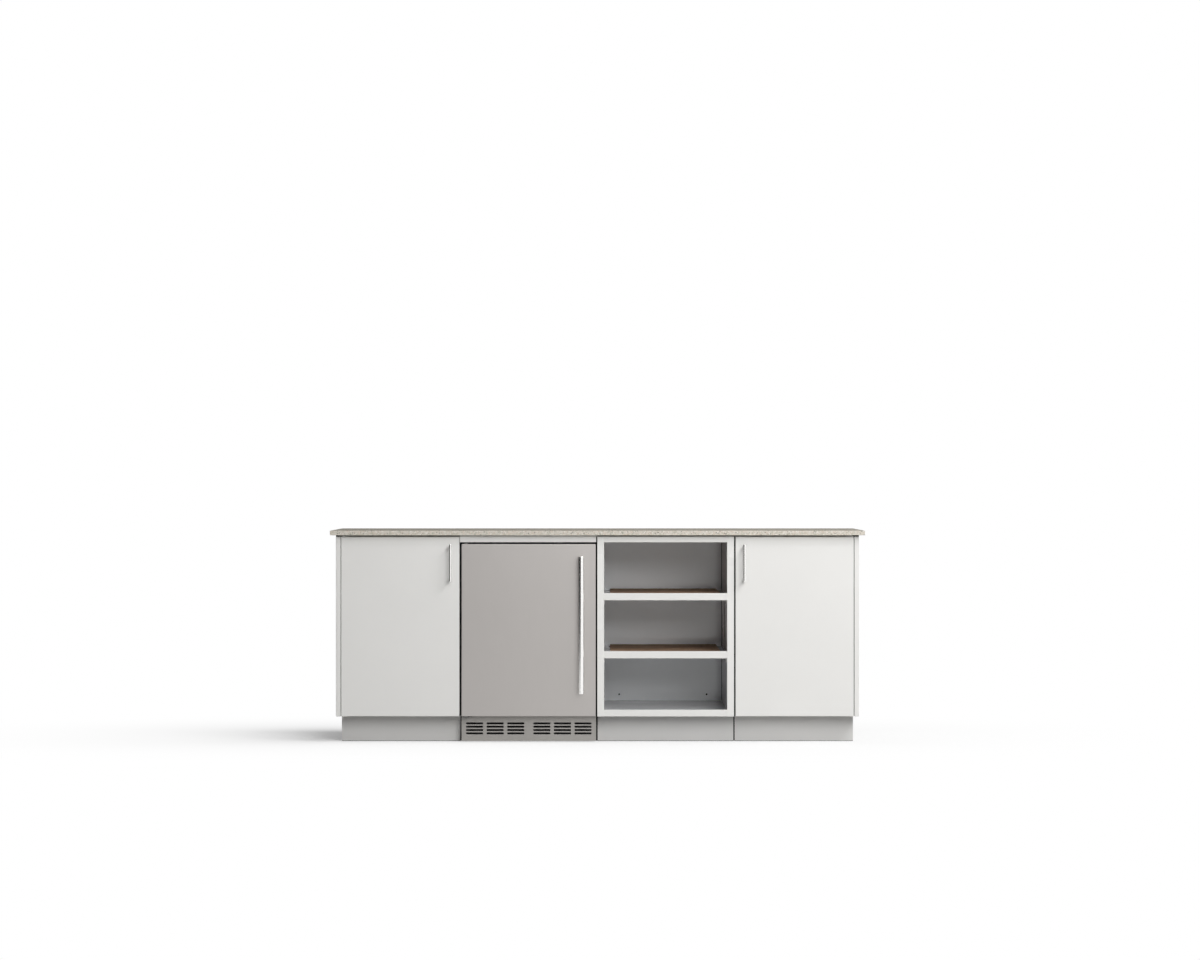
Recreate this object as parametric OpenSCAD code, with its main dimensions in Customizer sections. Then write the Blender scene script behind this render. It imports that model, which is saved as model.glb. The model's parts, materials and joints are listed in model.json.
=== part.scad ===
// Outdoor kitchen run: stone worktop on a door cabinet, an undercounter
// fridge, an open shelf cabinet and a second door cabinet.
// Millimetres. X runs along the front, the fronts face -Y, Z is up.
// The origin is on the floor, under the middle of the whole object.

/* [Worktop] */
// Height of the finished worktop above the floor
worktop_height = 914; // [880:1:960]
// Thickness of the stone slab
top_t = 20; // [12:1:40]
// How far the slab stands out in front of the doors
top_front_overhang = 25; // [5:1:45]
// How far the slab stands out past each end panel
top_end_overhang = 24; // [5:1:60]
// How far the slab stands out behind the cabinets
top_back_overhang = 10; // [0:1:40]
// Rounding of the slab's edges
top_edge_r = 1.5; // [1:0.5:5]
// Thickness of the backing board under the slab
deck_t = 6; // [5:0.5:12]
// How far the backing board stays back from the door fronts
deck_setback = 14; // [8:1:18]
// How far the backing board stays back over the fridge
deck_bay_setback = 5; // [2:1:14]
// How far the backing board stays in from the outside of each end panel
deck_end_setback = 6; // [0:1:15]
// Clearance of the backing board round a hinge plate
notch_gap = 1; // [0.5:0.5:3]

/* [Cabinet boxes] */
// Width of each door cabinet
door_cab_w = 515; // [420:1:600]
// Width of the open shelf cabinet
open_cab_w = 590; // [450:1:700]
// Width of the bay that holds the fridge
bay_w = 592; // [590:1:606]
// Gap between the open cabinet and the right cabinet
joint_gap = 4; // [0.5:0.5:6]
// Depth of a door cabinet's box, front edge to back
box_depth = 594; // [580:1:620]
// Thickness of the boxed side walls
wall_t = 30; // [20:1:36]
// Height of the boxed cabinet floors
floor_t = 29; // [24:1:40]
// Height of the open shelves with their raised front lips
lip_h = 31; // [24:1:40]
// Thickness of the boxed back panels
back_t = 19; // [12:1:24]
// Shadow gap between a back panel and each wall
back_gap = 2; // [1:0.5:4]
// Height of the rails under the worktop
rail_h = 25; // [20:1:40]
// Depth of the rails under the worktop
rail_d = 30; // [20:1:45]
// Height of the rails over the fridge
filler_h = 24.5; // [20:0.5:36]
// Width of the shadow seam between the front rail over the fridge and the open cabinet
rail_seam = 5; // [2:0.5:8]
// Depth of that shadow seam
rail_seam_d = 12; // [4:1:14]
// Thickness of the applied end panels
end_panel_t = 20; // [12:1:25]
// Rounding of painted edges
paint_r = 1.5; // [0.5:0.5:3]

/* [Plinth and feet] */
// Height of the boxes above the floor
kick_h = 112; // [100:1:130]
// How far the plinth stands back from the door fronts
kick_recess = 76; // [72:1:90]
// Gap under the plinth boards
kick_floor_gap = 2; // [1:0.5:6]
// Thickness of folded sheet
sheet_t = 1.5; // [1:0.5:3]
// Depth of the plinth's folded top edge
kick_flange = 25; // [15:1:35]
// Depth of the plinth's folded bottom edge
kick_hem = 12; // [6:1:20]
// Diameter of a levelling foot's pad
foot_pad_d = 50; // [36:1:56]
// Thickness of a levelling foot's pad
foot_pad_t = 8; // [5:1:12]
// Diameter of a levelling foot's stem
foot_stem_d = 12; // [10:1:16]
// Size across the flats of a foot's hexagon
foot_hex_af = 24; // [20:1:30]
// Height of a foot's hexagon
foot_hex_h = 10; // [6:1:14]
// Outside diameter of a foot's socket
socket_d = 34; // [26:1:40]
// Diameter of a socket's flange
socket_flange_d = 60; // [44:1:66]
// Thickness of a socket's flange
socket_flange_t = 4; // [2:1:8]
// Height of a socket
socket_h = 52; // [35:1:60]
// Distance from a cabinet's side to its feet
foot_inset = 60; // [45:1:90]
// Gap between the plinth's folded edge and the front feet's sockets
foot_front_gap = 3; // [2:1:30]
// Distance from the back of the box to the back feet
foot_back = 60; // [45:1:90]

/* [Doors] */
// Thickness of a cabinet door
door_t = 18; // [15:1:19]
// Gap at each side of a door
door_side_gap = 2.5; // [2.3:0.1:4]
// Gap above and below a door
door_end_gap = 1; // [1:0.1:2]
// Gap between a door and its box
door_rear_gap = 3; // [2.8:0.1:5]
// Distance from a door's hinge edge to its pivot
pivot_in = 8; // [7:0.5:9]
// Distance from a door's front to its pivot
pivot_back = 6; // [6:0.5:7]
// Diameter of a hinge pin
pin_d = 5; // [4:0.5:5.5]
// Outside diameter of a hinge bush
bush_d = 8; // [7.5:0.5:9]
// Length of a hinge bush in the door
bush_len = 14; // [10:1:25]
// Diameter of a bush's flange
bush_flange_d = 11; // [10:0.5:12]
// Thickness of a bush's flange
bush_flange_t = 0.7; // [0.5:0.1:0.9]
// Thickness of a hinge plate
plate_t = 3; // [2:0.5:4]
// Radius of a hinge plate's nose round the pin
nose_r = 5.5; // [4:0.5:6]
// Width of a hinge plate where it is screwed to the box
plate_w = 24; // [18:1:28]
// Length of a hinge plate behind the front of the box
plate_len = 45; // [30:1:50]
// Running clearance of a pin or stem, on the radius
run_clear = 0.05; // [0.02:0.01:0.1]
// Clearance of a pressed or seated piece, on the radius
seat_clear = 0.02; // [0.01:0.01:0.05]

/* [Cabinet handles] */
// Length of a cabinet handle
pull_len = 160; // [120:1:260]
// Diameter of a cabinet handle's bar
pull_d = 12; // [10:1:14]
// Diameter of a cabinet handle's posts
pull_post_d = 9; // [8:0.5:10]
// Distance between a cabinet handle's posts
pull_centres = 140; // [96:1:150]
// Distance from the door's front to the bar's axis
pull_standoff = 28; // [22:1:36]
// Distance from the door's free edge to the bar
pull_edge = 38; // [30:1:60]
// Distance from the door's top to the bar
pull_drop = 32.5; // [20:0.5:80]
// Diameter of the handle screws
screw_d = 4; // [3:0.5:5]
// Diameter of a handle screw's head
screw_head_d = 8; // [7:0.5:10]
// Height of a handle screw's head
screw_head_t = 2.5; // [1.5:0.1:2.6]
// Depth of the screw hole in a post
post_hole = 12; // [6:1:16]

/* [Catches and inner shelves] */
// Width of a magnetic catch
catch_w = 46; // [30:1:60]
// Height of a magnetic catch
catch_h = 14; // [10:1:18]
// Depth of a magnetic catch
catch_d = 24; // [16:1:30]
// Distance from the wall to the middle of the catch
catch_in = 62; // [50:1:120]
// Thickness of the strike plate on the door
strike_t = 1.2; // [0.8:0.1:1.6]
// Air left between magnet and strike plate
magnet_gap = 0.3; // [0.2:0.1:0.6]
// Thickness of an inner shelf
inner_shelf_t = 20; // [15:1:30]
// Gap between an inner shelf and each wall
shelf_side_gap = 2; // [1:0.5:4]
// Gap between an inner shelf and the back panel
shelf_back_gap = 1; // [0.5:0.5:3]
// Distance from the box's front to an inner shelf
shelf_setback = 40; // [30:1:120]
// Diameter of a shelf support's peg
peg_d = 8; // [5:0.5:10]
// Length of a shelf support's peg inside the wall
peg_len = 13; // [9:1:15]
// Air left behind a shelf support's peg
peg_air = 1; // [0.5:0.5:2]
// Spacing of the shelf support holes
peg_pitch = 32; // [25:1:64]
// Number of holes in each row
peg_holes = 7; // [3:1:9]
// Height of the lowest hole above the cabinet's floor
peg_first = 262; // [150:1:320]
// Which hole holds the shelf support, counted from the lowest
peg_used = 3; // [1:1:3]
// Distance from a shelf's front and back edge to its supports
peg_inset = 50; // [37:1:80]
// Length of a support's ledge
peg_ledge = 12; // [8:1:20]
// Thickness of a support's ledge
peg_ledge_t = 3; // [2:0.5:5]

/* [Open cabinet] */
// Height of the lower shelf's top
lower_shelf_top = 393.5; // [300:0.5:450]
// Height of the upper shelf's top
upper_shelf_top = 644; // [560:0.5:760]
// Depth of a shelf's front lip
lip_d = 20; // [12:1:40]
// Thickness of the wooden boards
board_t = 8; // [5:0.5:15]
// Bare strip at each side of a board
board_side = 27; // [10:1:60]
// Clearance round a board
board_gap = 1; // [0.5:0.5:3]
// Leg of the angle cleats under the shelves
cleat_leg = 20; // [12:1:30]
// Thickness of the angle cleats
cleat_t = 2; // [1:0.5:3]
// Distance from the cabinet's front to a cleat
cleat_front = 60; // [40:1:120]
// Length of a cleat
cleat_len = 460; // [300:1:500]
// Distance between the two fixing holes in the back panel
fix_spacing = 393; // [250:1:420]
// Height of the fixing holes
fix_z = 168; // [160:1:260]
// Diameter of the fixing holes
fix_d = 8; // [6:0.5:12]

/* [Fridge body] */
// Gap between the fridge body and each cabinet
case_side_gap = 5; // [4:0.5:6]
// Thickness of the foamed walls
case_wall = 40; // [34:1:50]
// Depth of the fridge body
case_depth = 552; // [520:1:560]
// Height of the fridge's underside
case_z0 = 30; // [20:1:40]
// How far the base stands back under the body's front
case_toe = 52; // [40:1:70]
// Height of the machine space at the back
machine_h = 220; // [200:1:260]
// Depth of the machine space at the back
machine_d = 190; // [170:1:220]
// Thickness of the moulded lining
liner_t = 2; // [1.5:0.5:4]
// Rounding of the lining's inner corners
liner_r = 16; // [8:1:25]
// How far the rack ledges stand out of the lining
ledge_w = 10; // [7:1:16]
// Height of the rack ledges
ledge_h = 8; // [5:1:12]
// Gap between a rack and its ledges
ledge_gap = 0.1; // [0.05:0.05:0.3]
// Height of the lower rack
lower_rack_z = 430; // [340:1:480]
// Height of the upper rack
upper_rack_z = 630; // [560:1:700]
// Diameter of a rack's frame wire
rack_wire_d = 6; // [6:0.5:8]
// Diameter of a rack's cross bars
rack_bar_d = 5; // [4.5:0.5:5.5]
// Diameter of a rack's thin rods
rack_rod_d = 3; // [2:0.5:4]
// How far a rack's side wires run past its cross bars
rack_overrun = 6; // [4:1:12]
// Spacing of a rack's thin rods
rack_pitch = 26; // [20:1:40]
// Gap between a rack and the lining at each side
rack_gap = 3; // [2:0.5:6]
// Distance from the body's front to a rack
rack_front = 50; // [40:1:80]
// Depth of a rack
rack_depth = 400; // [340:1:420]
// Diameter of the fridge's feet
fridge_foot_d = 34; // [24:1:38]
// Bevel of the fridge's feet
fridge_foot_edge = 2; // [1:0.5:3]
// Diameter of the compressor
compressor_d = 150; // [120:1:160]
// Height of the compressor
compressor_h = 165; // [130:1:175]
// Diameter of the compressor at its foot
compressor_foot_d = 120; // [90:1:130]
// Half the depth of the compressor's foot plate
compressor_plate_half = 67.5; // [55:0.5:80]
// Sideways place of the tabs from the fridge's middle
tab_side = 129; // [60:1:200]
// Width of a tab
tab_w = 30; // [20:1:45]
// Thickness of a tab
tab_t = 2; // [1:0.5:2.5]
// Length of a tab on the fridge's top
tab_len = 30; // [20:1:60]
// Gap between a tab and the backing board
tab_top_gap = 1; // [0.5:0.5:5]

/* [Fridge door] */
// Height of the fridge door's lower edge
fdoor_z0 = 112.5; // [112:0.5:114]
// Gap between the fridge door and the rail over it
fdoor_top_gap = 7.5; // [7:0.5:12]
// Gap at each side of the fridge door
fdoor_side_gap = 6; // [6:0.5:8]
// Thickness of the fridge door
fdoor_t = 40; // [38:1:42]
// Gap between the fridge door and the body, filled by the seal
gasket_t = 8; // [8:0.5:10]
// Distance from the fridge door's hinge edge to its pivot
fpivot_in = 20; // [19:0.5:21]
// Distance from the fridge door's front to its pivot
fpivot_back = 16; // [15:0.5:17]
// Diameter of a fridge hinge pin
fpin_d = 8; // [6:0.5:9]
// Outside diameter of a fridge hinge bush
fbush_d = 12; // [11:0.5:14]
// Length of a fridge hinge bush
fbush_len = 20; // [12:1:30]
// Radius of a fridge hinge bracket's nose
fnose_r = 12; // [9:0.5:13]
// Thickness of a fridge hinge bracket
fplate_t = 3; // [2:0.5:4]
// Length of a fridge hinge bracket on the body
fplate_len = 46; // [30:1:50]
// Gap between a fridge hinge bracket and the door
fplate_gap = 2; // [1.5:0.1:2]
// Diameter of a fridge hinge bush's flange
fbush_flange_d = 16; // [15:0.5:18]
// Gap between a fridge hinge bush's flange and its bracket
fbush_gap = 0.3; // [0.2:0.1:0.5]
// Rounding of the fridge door's edges
fdoor_r = 3; // [1:0.5:6]
// Distance from the fridge door's edge to its seal
gasket_in = 24; // [21:1:26]
// Width of the seal
gasket_w = 12; // [8:1:14]
// How far the seal's lip is drawn in from its root
gasket_lip_in = 1; // [0.5:0.5:2]
// Gap between the seal and the moulded panels inside it
gasket_gap = 1; // [0.5:0.5:3]
// How far the door's inner dyke reaches behind the door
dyke_h = 26; // [16:1:30]
// Width of the door's inner dyke
dyke_w = 15; // [10:1:30]
// Gap between the dyke and the lining
dyke_gap = 14; // [10:1:24]
// Diameter of the fridge handle
bar_d = 25; // [18:1:30]
// Diameter of the fridge handle's posts
bar_post_d = 16; // [10:1:17]
// Distance from the fridge handle's ends to its posts
bar_post_in = 22; // [14:1:80]
// Distance from the door's front to the handle's axis
bar_standoff = 38; // [32:1:50]
// Distance from the fridge door's free edge to the handle
bar_edge = 63; // [40:1:90]
// Distance from the fridge door's lower edge to the handle
bar_rise = 98.5; // [40:0.5:120]
// Distance from the fridge door's upper edge to the handle
bar_drop = 53; // [30:0.5:120]

/* [Toe grille] */
// How far the grille stands back from the door fronts
grille_recess = 40; // [36:1:44]
// Thickness of the grille
grille_t = 10; // [9:1:14]
// Gap under the grille
grille_z0 = 4; // [2:1:10]
// Width of one slot
slot_w = 73.5; // [40:0.5:80]
// Height of one slot
slot_h = 8.5; // [4:0.5:10]
// Gap between neighbouring slots in a row
slot_gap = 15.5; // [8:0.5:16]
// Wider gap in the middle of a row
slot_mid_gap = 39.4; // [16:0.1:40]
// Columns of slots on each side of the middle
slot_cols = 3; // [1:1:3]
// Rows of slots
slot_rows = 4; // [1:1:4]
// Spacing of the rows
slot_pitch = 14.4; // [13:0.1:18]
// Height of the lowest row's middle
slot_first = 37.4; // [25:0.1:45]
// Slope of the slots, falling towards the front
slot_slope = 18; // [0:1:25]

/* [Fridge controls] */
// Width of the control housing
control_w = 150; // [120:1:200]
// Height of the control housing
control_h = 36; // [32:1:50]
// Depth of the control housing
control_d = 80; // [50:1:120]
// Distance from the body's front to the control housing
control_front = 38; // [36:1:60]
// Rounding of the control housing's lower edges
control_r = 5; // [2:1:10]
// Depth of the lamp lens behind the housing
lens_d = 30; // [20:1:60]
// How far the lens's underside lies above the housing's
lens_rise = 4; // [0:1:10]
// Rounding of the lens's rear edge
lens_r = 10; // [4:1:14]
// Diameter of the thermostat dial
dial_d = 26; // [20:1:28]
// Thickness of the thermostat dial
dial_t = 9; // [6:1:11]
// Diameter of the dial's spindle
spindle_d = 6; // [4:0.5:8]
// Depth of the spindle's hole
spindle_hole = 12; // [8:1:20]
// Gap between the dial and the housing
dial_gap = 0.3; // [0.2:0.1:0.6]
// Air left behind the dial's spindle
spindle_air = 1; // [0.5:0.5:2]
// Grip flutes round the dial
dial_flutes = 12; // [8:1:16]
// Diameter of a flute
flute_d = 4; // [2:0.5:5]
// Plain rim left behind the flutes
dial_rim = 2; // [1:0.5:4]
// Width of the dial's pointer
pointer_w = 3; // [2:0.5:4]
// How far the pointer stands out of the dial
pointer_h = 1.5; // [0.5:0.5:2]
// Distance from the pointer's tip to the dial's edge
pointer_in = 2; // [1:0.5:4]
// Width of the lamp switch
switch_w = 12; // [8:1:16]
// Height of the lamp switch
switch_h = 18; // [14:1:22]
// Sideways place of dial and switch from the housing's middle
control_side = 40; // [30:1:50]
// Clearance round the lamp switch
switch_gap = 0.8; // [0.5:0.1:1.5]
// Diameter of the lamp switch's cross pin
switch_pin_d = 3; // [2:0.5:4]
// How far the cross pin reaches into the housing
switch_pin_in = 1; // [0.5:0.5:2]
// Depth of the cross pin's holes in the housing
switch_pin_hole = 4; // [3:0.5:6]
// Air left behind the lamp switch
switch_air = 3; // [2.5:0.5:4]
// How far the lamp switch's two ends stand out
switch_rise = 1; // [0.5:0.5:2]
// How deep the lamp switch's middle dips
switch_dip = 0.5; // [0.2:0.1:1]

/* [Hidden] */

// Smoothness of round parts, and steps in a small rounded edge
$fn = 48;
arc_steps = 4;
// Small overlap that lets a cut run clear of a face
cut = 1;

// Colours
stone = [0.78, 0.76, 0.72];
paint = [0.86, 0.86, 0.85];
shade = [0.62, 0.62, 0.61];
steel = [0.70, 0.69, 0.67];
bright = [0.80, 0.80, 0.80];
timber = [0.45, 0.33, 0.24];
black = [0.12, 0.12, 0.12];
white = [0.93, 0.94, 0.94];

// Heights
box_z0 = kick_h;
box_top = worktop_height - top_t - deck_t;
floor_top = box_z0 + floor_t;
door_z0 = box_z0 + door_end_gap;
door_z1 = box_top - door_end_gap;

// Depths, from the front of the doors to the back
bar_reach = bar_standoff + bar_d / 2;
front_reach = max(bar_reach, top_front_overhang, pull_standoff + pull_d / 2);
run_depth = door_t + door_rear_gap + box_depth;
total_depth = front_reach + run_depth + top_back_overhang;
y_front = front_reach - total_depth / 2;
y_box = y_front + door_t + door_rear_gap;
y_back = y_front + run_depth;
y_back_face = y_back - back_t;
y_kick = y_front + kick_recess;

// Widths, from left to right
run_w = 2 * door_cab_w + bay_w + open_cab_w + joint_gap;
x_run = -run_w / 2;
x_bay = x_run + door_cab_w;
x_open = x_bay + bay_w;
x_open_end = x_open + open_cab_w;
x_end_panel = run_w / 2 + end_panel_t;
x_top = x_end_panel + top_end_overhang;

// The left door and its pivot
x_door = x_run + door_side_gap;
door_w = door_cab_w - 2 * door_side_gap;
x_pivot = x_door + pivot_in;
y_pivot = y_front + pivot_back;
x_pull = x_door + door_w - pull_edge;
z_pull = door_z1 - pull_drop - pull_len / 2;
x_catch = x_bay - wall_t - catch_in;
z_catch = box_top - rail_h - catch_h;

// The inner shelf hangs on its supports
z_peg = floor_top + peg_first + (peg_used - 1) * peg_pitch;
z_inner_shelf = z_peg + peg_d / 2 + peg_ledge_t;
y_inner_shelf = y_box + shelf_setback;
y_inner_back = y_back_face - shelf_back_gap;
peg_hole = peg_len + peg_air;

// The fridge
x_case = x_bay + case_side_gap;
x_case_end = x_open - case_side_gap;
x_fridge = (x_bay + x_open) / 2;
x_fdoor = x_bay + fdoor_side_gap;
x_fdoor_end = x_open - fdoor_side_gap;
z_filler = box_top - filler_h;
fdoor_z1 = z_filler - fdoor_top_gap;
y_fdoor_back = y_front + fdoor_t;
y_case = y_fdoor_back + gasket_t;
y_case_back = y_case + case_depth;
y_case_toe = y_case + case_toe;
case_z1 = fdoor_z1 + fplate_gap;
case_toe_z = fdoor_z0 - fplate_gap;
x_fpivot = x_fdoor + fpivot_in;
y_fpivot = y_front + fpivot_back;
z_bar = fdoor_z0 + bar_rise;
bar_len = fdoor_z1 - bar_drop - z_bar;
x_bar = x_fdoor_end - bar_edge;
z_cold_floor = fdoor_z0 + gasket_in + gasket_w + gasket_gap;
z_cold_top = case_z1 - case_wall;
z_hump = case_z0 + machine_h + case_wall;
y_hump = y_case_back - machine_d;
base_t = z_cold_floor - case_toe_z;
x_cold = x_case + case_wall;
x_cold_end = x_case_end - case_wall;
y_cold_back = y_case_back - case_wall;

// The controls hang from the lining's ceiling
z_ceiling = z_cold_top - liner_t;
z_control = z_ceiling - control_h;
y_control = y_case + control_front;
z_dial = z_control + control_h / 2;
x_dial = x_fridge - control_side;
x_switch = x_fridge + control_side;

// Point on a circle, and points of one corner of a profile, rounded by r from angle a on
function on_circle(c, r, a) = c + r * [cos(a), sin(a)];
function corner(c, r, a) =
    r <= 0 ? [c] : [for (i = [0:arc_steps]) on_circle(c, r, a + 90 * i / arc_steps)];

// Rectangle from p to q with four corner radii, from lower left round to upper left
function rounded(p, q, r) = concat(
    corner([p[0] + r[0], p[1] + r[0]], r[0], 180),
    corner([q[0] - r[1], p[1] + r[1]], r[1], 270),
    corner([q[0] - r[2], q[1] - r[2]], r[2], 0),
    corner([p[0] + r[3], q[1] - r[3]], r[3], 90)
);

// Prisms along each axis, from a profile in the other two
module along_x(x0, x1, points) {
    translate([x0, 0, 0]) rotate([90, 0, 90]) linear_extrude(x1 - x0) polygon(points);
}

module along_y(y0, y1, points) {
    translate([0, y1, 0]) rotate([90, 0, 0]) linear_extrude(y1 - y0) polygon(points);
}

module along_z(z0, z1, points) {
    translate([0, 0, z0]) linear_extrude(z1 - z0) polygon(points);
}

// Plain block between two corners
module block(p, q) {
    translate(p) cube(q - p);
}

// Slab whose front edges are all rounded by r
module faced_slab(p, q, r) {
    intersection() {
        along_z(p[2], q[2], rounded([p[0], p[1]], [q[0], q[1]], [r, r, 0, 0]));
        along_x(p[0], q[0], rounded([p[1], p[2]], [q[1], q[2]], [r, 0, 0, r]));
    }
}

// Upright or lying rod along Z or Y
module rod_z(c, d, z0, z1) {
    translate([c[0], c[1], z0]) cylinder(d = d, h = z1 - z0);
}

module rod_y(x, z, d, y0, y1) {
    translate([x, y1, z]) rotate([90, 0, 0]) cylinder(d = d, h = y1 - y0);
}

module rod_x(y, z, d, x0, x1) {
    translate([x0, y, z]) rotate([0, 90, 0]) cylinder(d = d, h = x1 - x0);
}

// Bar with rounded ends, standing on z0
module bar_pull(c, d, z0, z1, r) {
    translate([c[0], c[1], 0])
        rotate_extrude()
            polygon(concat(
                [[0, z0]],
                corner([d / 2 - r, z0 + r], r, 270),
                corner([d / 2 - r, z1 - r], r, 0),
                [[0, z1]]
            ));
}

module right_side() {
    mirror([1, 0, 0]) children();
}

// Worktop

module countertop() {
    color(stone)
        intersection() {
            along_x(-x_top, x_top, rounded([y_front - top_front_overhang, worktop_height - top_t],
                [y_back + top_back_overhang, worktop_height], [1, 1, 1, 1] * top_edge_r));
            along_y(y_front - top_front_overhang - cut, y_back + top_back_overhang + cut,
                rounded([-x_top, worktop_height - top_t], [x_top, worktop_height],
                    [1, 1, 1, 1] * top_edge_r));
            along_z(worktop_height - top_t - cut, worktop_height + cut,
                rounded([-x_top, y_front - top_front_overhang], [x_top, y_back + top_back_overhang],
                    [1, 1, 1, 1] * top_edge_r));
        }
}

module hinge_notch() {
    block([x_run - end_panel_t, y_front, box_top - cut],
        [x_pivot - nose_r + plate_w + notch_gap, y_box + plate_len + notch_gap, box_top + deck_t + cut]);
}

module worktop_deck() {
    x_deck = x_end_panel - deck_end_setback;
    color(shade)
        difference() {
            union() {
                block([-x_deck, y_front + deck_setback, box_top], [x_deck, y_back, box_top + deck_t]);
                block([x_bay, y_front + deck_bay_setback, box_top],
                    [x_open, y_front + deck_setback + cut, box_top + deck_t]);
            }
            hinge_notch();
            right_side() hinge_notch();
        }
}

// Ends, plinth and feet

module left_end_panel() {
    color(paint)
        along_z(box_z0, box_top, rounded([x_run - end_panel_t, y_front], [x_run, y_back],
            [paint_r, paint_r, 0, paint_r]));
}

// Folded plinth board: upright sheet, flange at the top, hem at the bottom
function kick_profile() = [
    [y_kick, kick_floor_gap],
    [y_kick + kick_hem, kick_floor_gap],
    [y_kick + kick_hem, kick_floor_gap + sheet_t],
    [y_kick + sheet_t, kick_floor_gap + sheet_t],
    [y_kick + sheet_t, kick_h - sheet_t],
    [y_kick + kick_flange, kick_h - sheet_t],
    [y_kick + kick_flange, kick_h],
    [y_kick, kick_h]
];

module left_toe_kick() {
    color(shade) {
        along_x(x_run + sheet_t, x_bay - joint_gap / 2, kick_profile());
        block([x_run, y_kick, kick_floor_gap], [x_run + sheet_t, y_back, kick_h]);
    }
}

module open_toe_kick() {
    color(shade) along_x(x_open + joint_gap / 2, x_open_end, kick_profile());
}

// Where the feet of a cabinet from x0 to x1 stand
function foot_places(x0, x1) = [
    for (x = [x0 + foot_inset, x1 - foot_inset])
        for (y = [y_kick + kick_flange + foot_front_gap + socket_flange_d / 2, y_back - foot_back])
            [x, y]
];

function all_feet() = concat(
    foot_places(x_run, x_bay),
    foot_places(x_open, x_open_end),
    foot_places(-x_bay, -x_run)
);

module levelling_feet() {
    color(black)
        for (p = all_feet())
            translate([p[0], p[1], 0]) {
                rotate_extrude()
                    polygon([
                        [0, 0], [foot_pad_d / 2, 0], [foot_pad_d / 2, foot_pad_t / 2],
                        [foot_hex_af / 2, foot_pad_t], [foot_stem_d / 2, foot_pad_t],
                        [foot_stem_d / 2, box_z0 - socket_flange_t], [0, box_z0 - socket_flange_t]
                    ]);
                translate([0, 0, foot_pad_t])
                    cylinder(d = foot_hex_af / cos(30), h = foot_hex_h, $fn = 6);
            }
}

module foot_sockets() {
    color(black)
        for (p = all_feet())
            translate([p[0], p[1], box_z0 - socket_h])
                difference() {
                    union() {
                        cylinder(d = socket_d, h = socket_h);
                        translate([0, 0, socket_h - socket_flange_t])
                            cylinder(d = socket_flange_d, h = socket_flange_t);
                    }
                    translate([0, 0, -cut])
                        cylinder(d = foot_stem_d + 2 * run_clear, h = socket_h - socket_flange_t / 2 + cut);
                }
}

// Cabinet boxes

// Rows of support holes in a wall, seen from the cabinet's inside
module peg_rows(x0, x1, hole) {
    for (i = [0:peg_holes - 1])
        for (y = [y_inner_shelf + peg_inset, y_inner_back - peg_inset]) {
            z = floor_top + peg_first + i * peg_pitch;
            rod_x(y, z, peg_d + 2 * seat_clear, x0 - hole, x0 + cut);
            rod_x(y, z, peg_d + 2 * seat_clear, x1 - cut, x1 + hole);
        }
}

module wall_pair(x0, x1, y0) {
    for (x = [x0, x1 - wall_t])
        along_z(box_z0, box_top, rounded([x, y0], [x + wall_t, y_back], [paint_r, paint_r, 0, 0]));
}

module left_walls() {
    color(paint)
        difference() {
            wall_pair(x_run, x_bay, y_box);
            peg_rows(x_run + wall_t, x_bay - wall_t, peg_hole);
        }
}

module box_floor(x0, x1, y0) {
    along_x(x0 + wall_t, x1 - wall_t, rounded([y0, box_z0], [y_back, floor_top], [paint_r, 0, 0, paint_r]));
}

module left_floor() {
    color(paint) box_floor(x_run, x_bay, y_box);
}

module box_back(x0, x1) {
    block([x0 + wall_t + back_gap, y_back_face, floor_top], [x1 - wall_t - back_gap, y_back, box_top]);
}

module left_back() {
    color(shade) box_back(x_run, x_bay);
}

// Front and back rails under the worktop
module box_rails(x0, x1, y0) {
    for (y = [y0, y_back_face - rail_d])
        along_x(x0 + wall_t, x1 - wall_t,
            rounded([y, box_top - rail_h], [y + rail_d, box_top], [paint_r, 0, 0, paint_r]));
}

module left_rails() {
    color(paint) box_rails(x_run, x_bay, y_box);
}

module left_inner_shelf() {
    color(paint)
        along_x(x_run + wall_t + shelf_side_gap, x_bay - wall_t - shelf_side_gap,
            rounded([y_inner_shelf, z_inner_shelf], [y_inner_back, z_inner_shelf + inner_shelf_t],
                [paint_r, 0, 0, paint_r]));
}

// Support with a peg in the wall and a ledge under the shelf, pointing to +X
module shelf_support(x, y, turn) {
    translate([x, y, z_peg])
        mirror([turn, 0, 0]) {
            rotate([0, 90, 0])
                translate([0, 0, -peg_len])
                    cylinder(d = peg_d, h = peg_len + peg_ledge);
            translate([0, -peg_d / 2, 0])
                cube([peg_ledge, peg_d, peg_d / 2 + peg_ledge_t]);
        }
}

module supports_of_one() {
    for (y = [y_inner_shelf + peg_inset, y_inner_back - peg_inset]) {
        shelf_support(x_run + wall_t, y, 0);
        shelf_support(x_bay - wall_t, y, 1);
    }
}

module shelf_supports() {
    color(bright) {
        supports_of_one();
        right_side() supports_of_one();
    }
}

// Cabinet doors and what carries them

// Outline of a hinge plate: round nose at the pivot, wide foot on the box
function plate_outline(c, r, w, y_step, y_end) = concat(
    [for (i = [0:2 * arc_steps]) c + r * [cos(180 + 90 * i / arc_steps), sin(180 + 90 * i / arc_steps)]],
    [
        [c[0] + r, y_step],
        [c[0] - r + w, y_step],
        [c[0] - r + w, y_end],
        [c[0] - r, y_end]
    ]
);

module left_hinge_plates() {
    outline = plate_outline([x_pivot, y_pivot], nose_r, plate_w, y_box + cut, y_box + plate_len);
    color(bright) {
        along_z(box_top, box_top + plate_t, outline);
        rod_z([x_pivot, y_pivot], pin_d, door_z1 - bush_len + cut, box_top + plate_t / 2);
        along_z(box_z0 - plate_t, box_z0, outline);
        rod_z([x_pivot, y_pivot], pin_d, box_z0 - plate_t / 2, door_z0 + bush_len - cut);
    }
}

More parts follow.
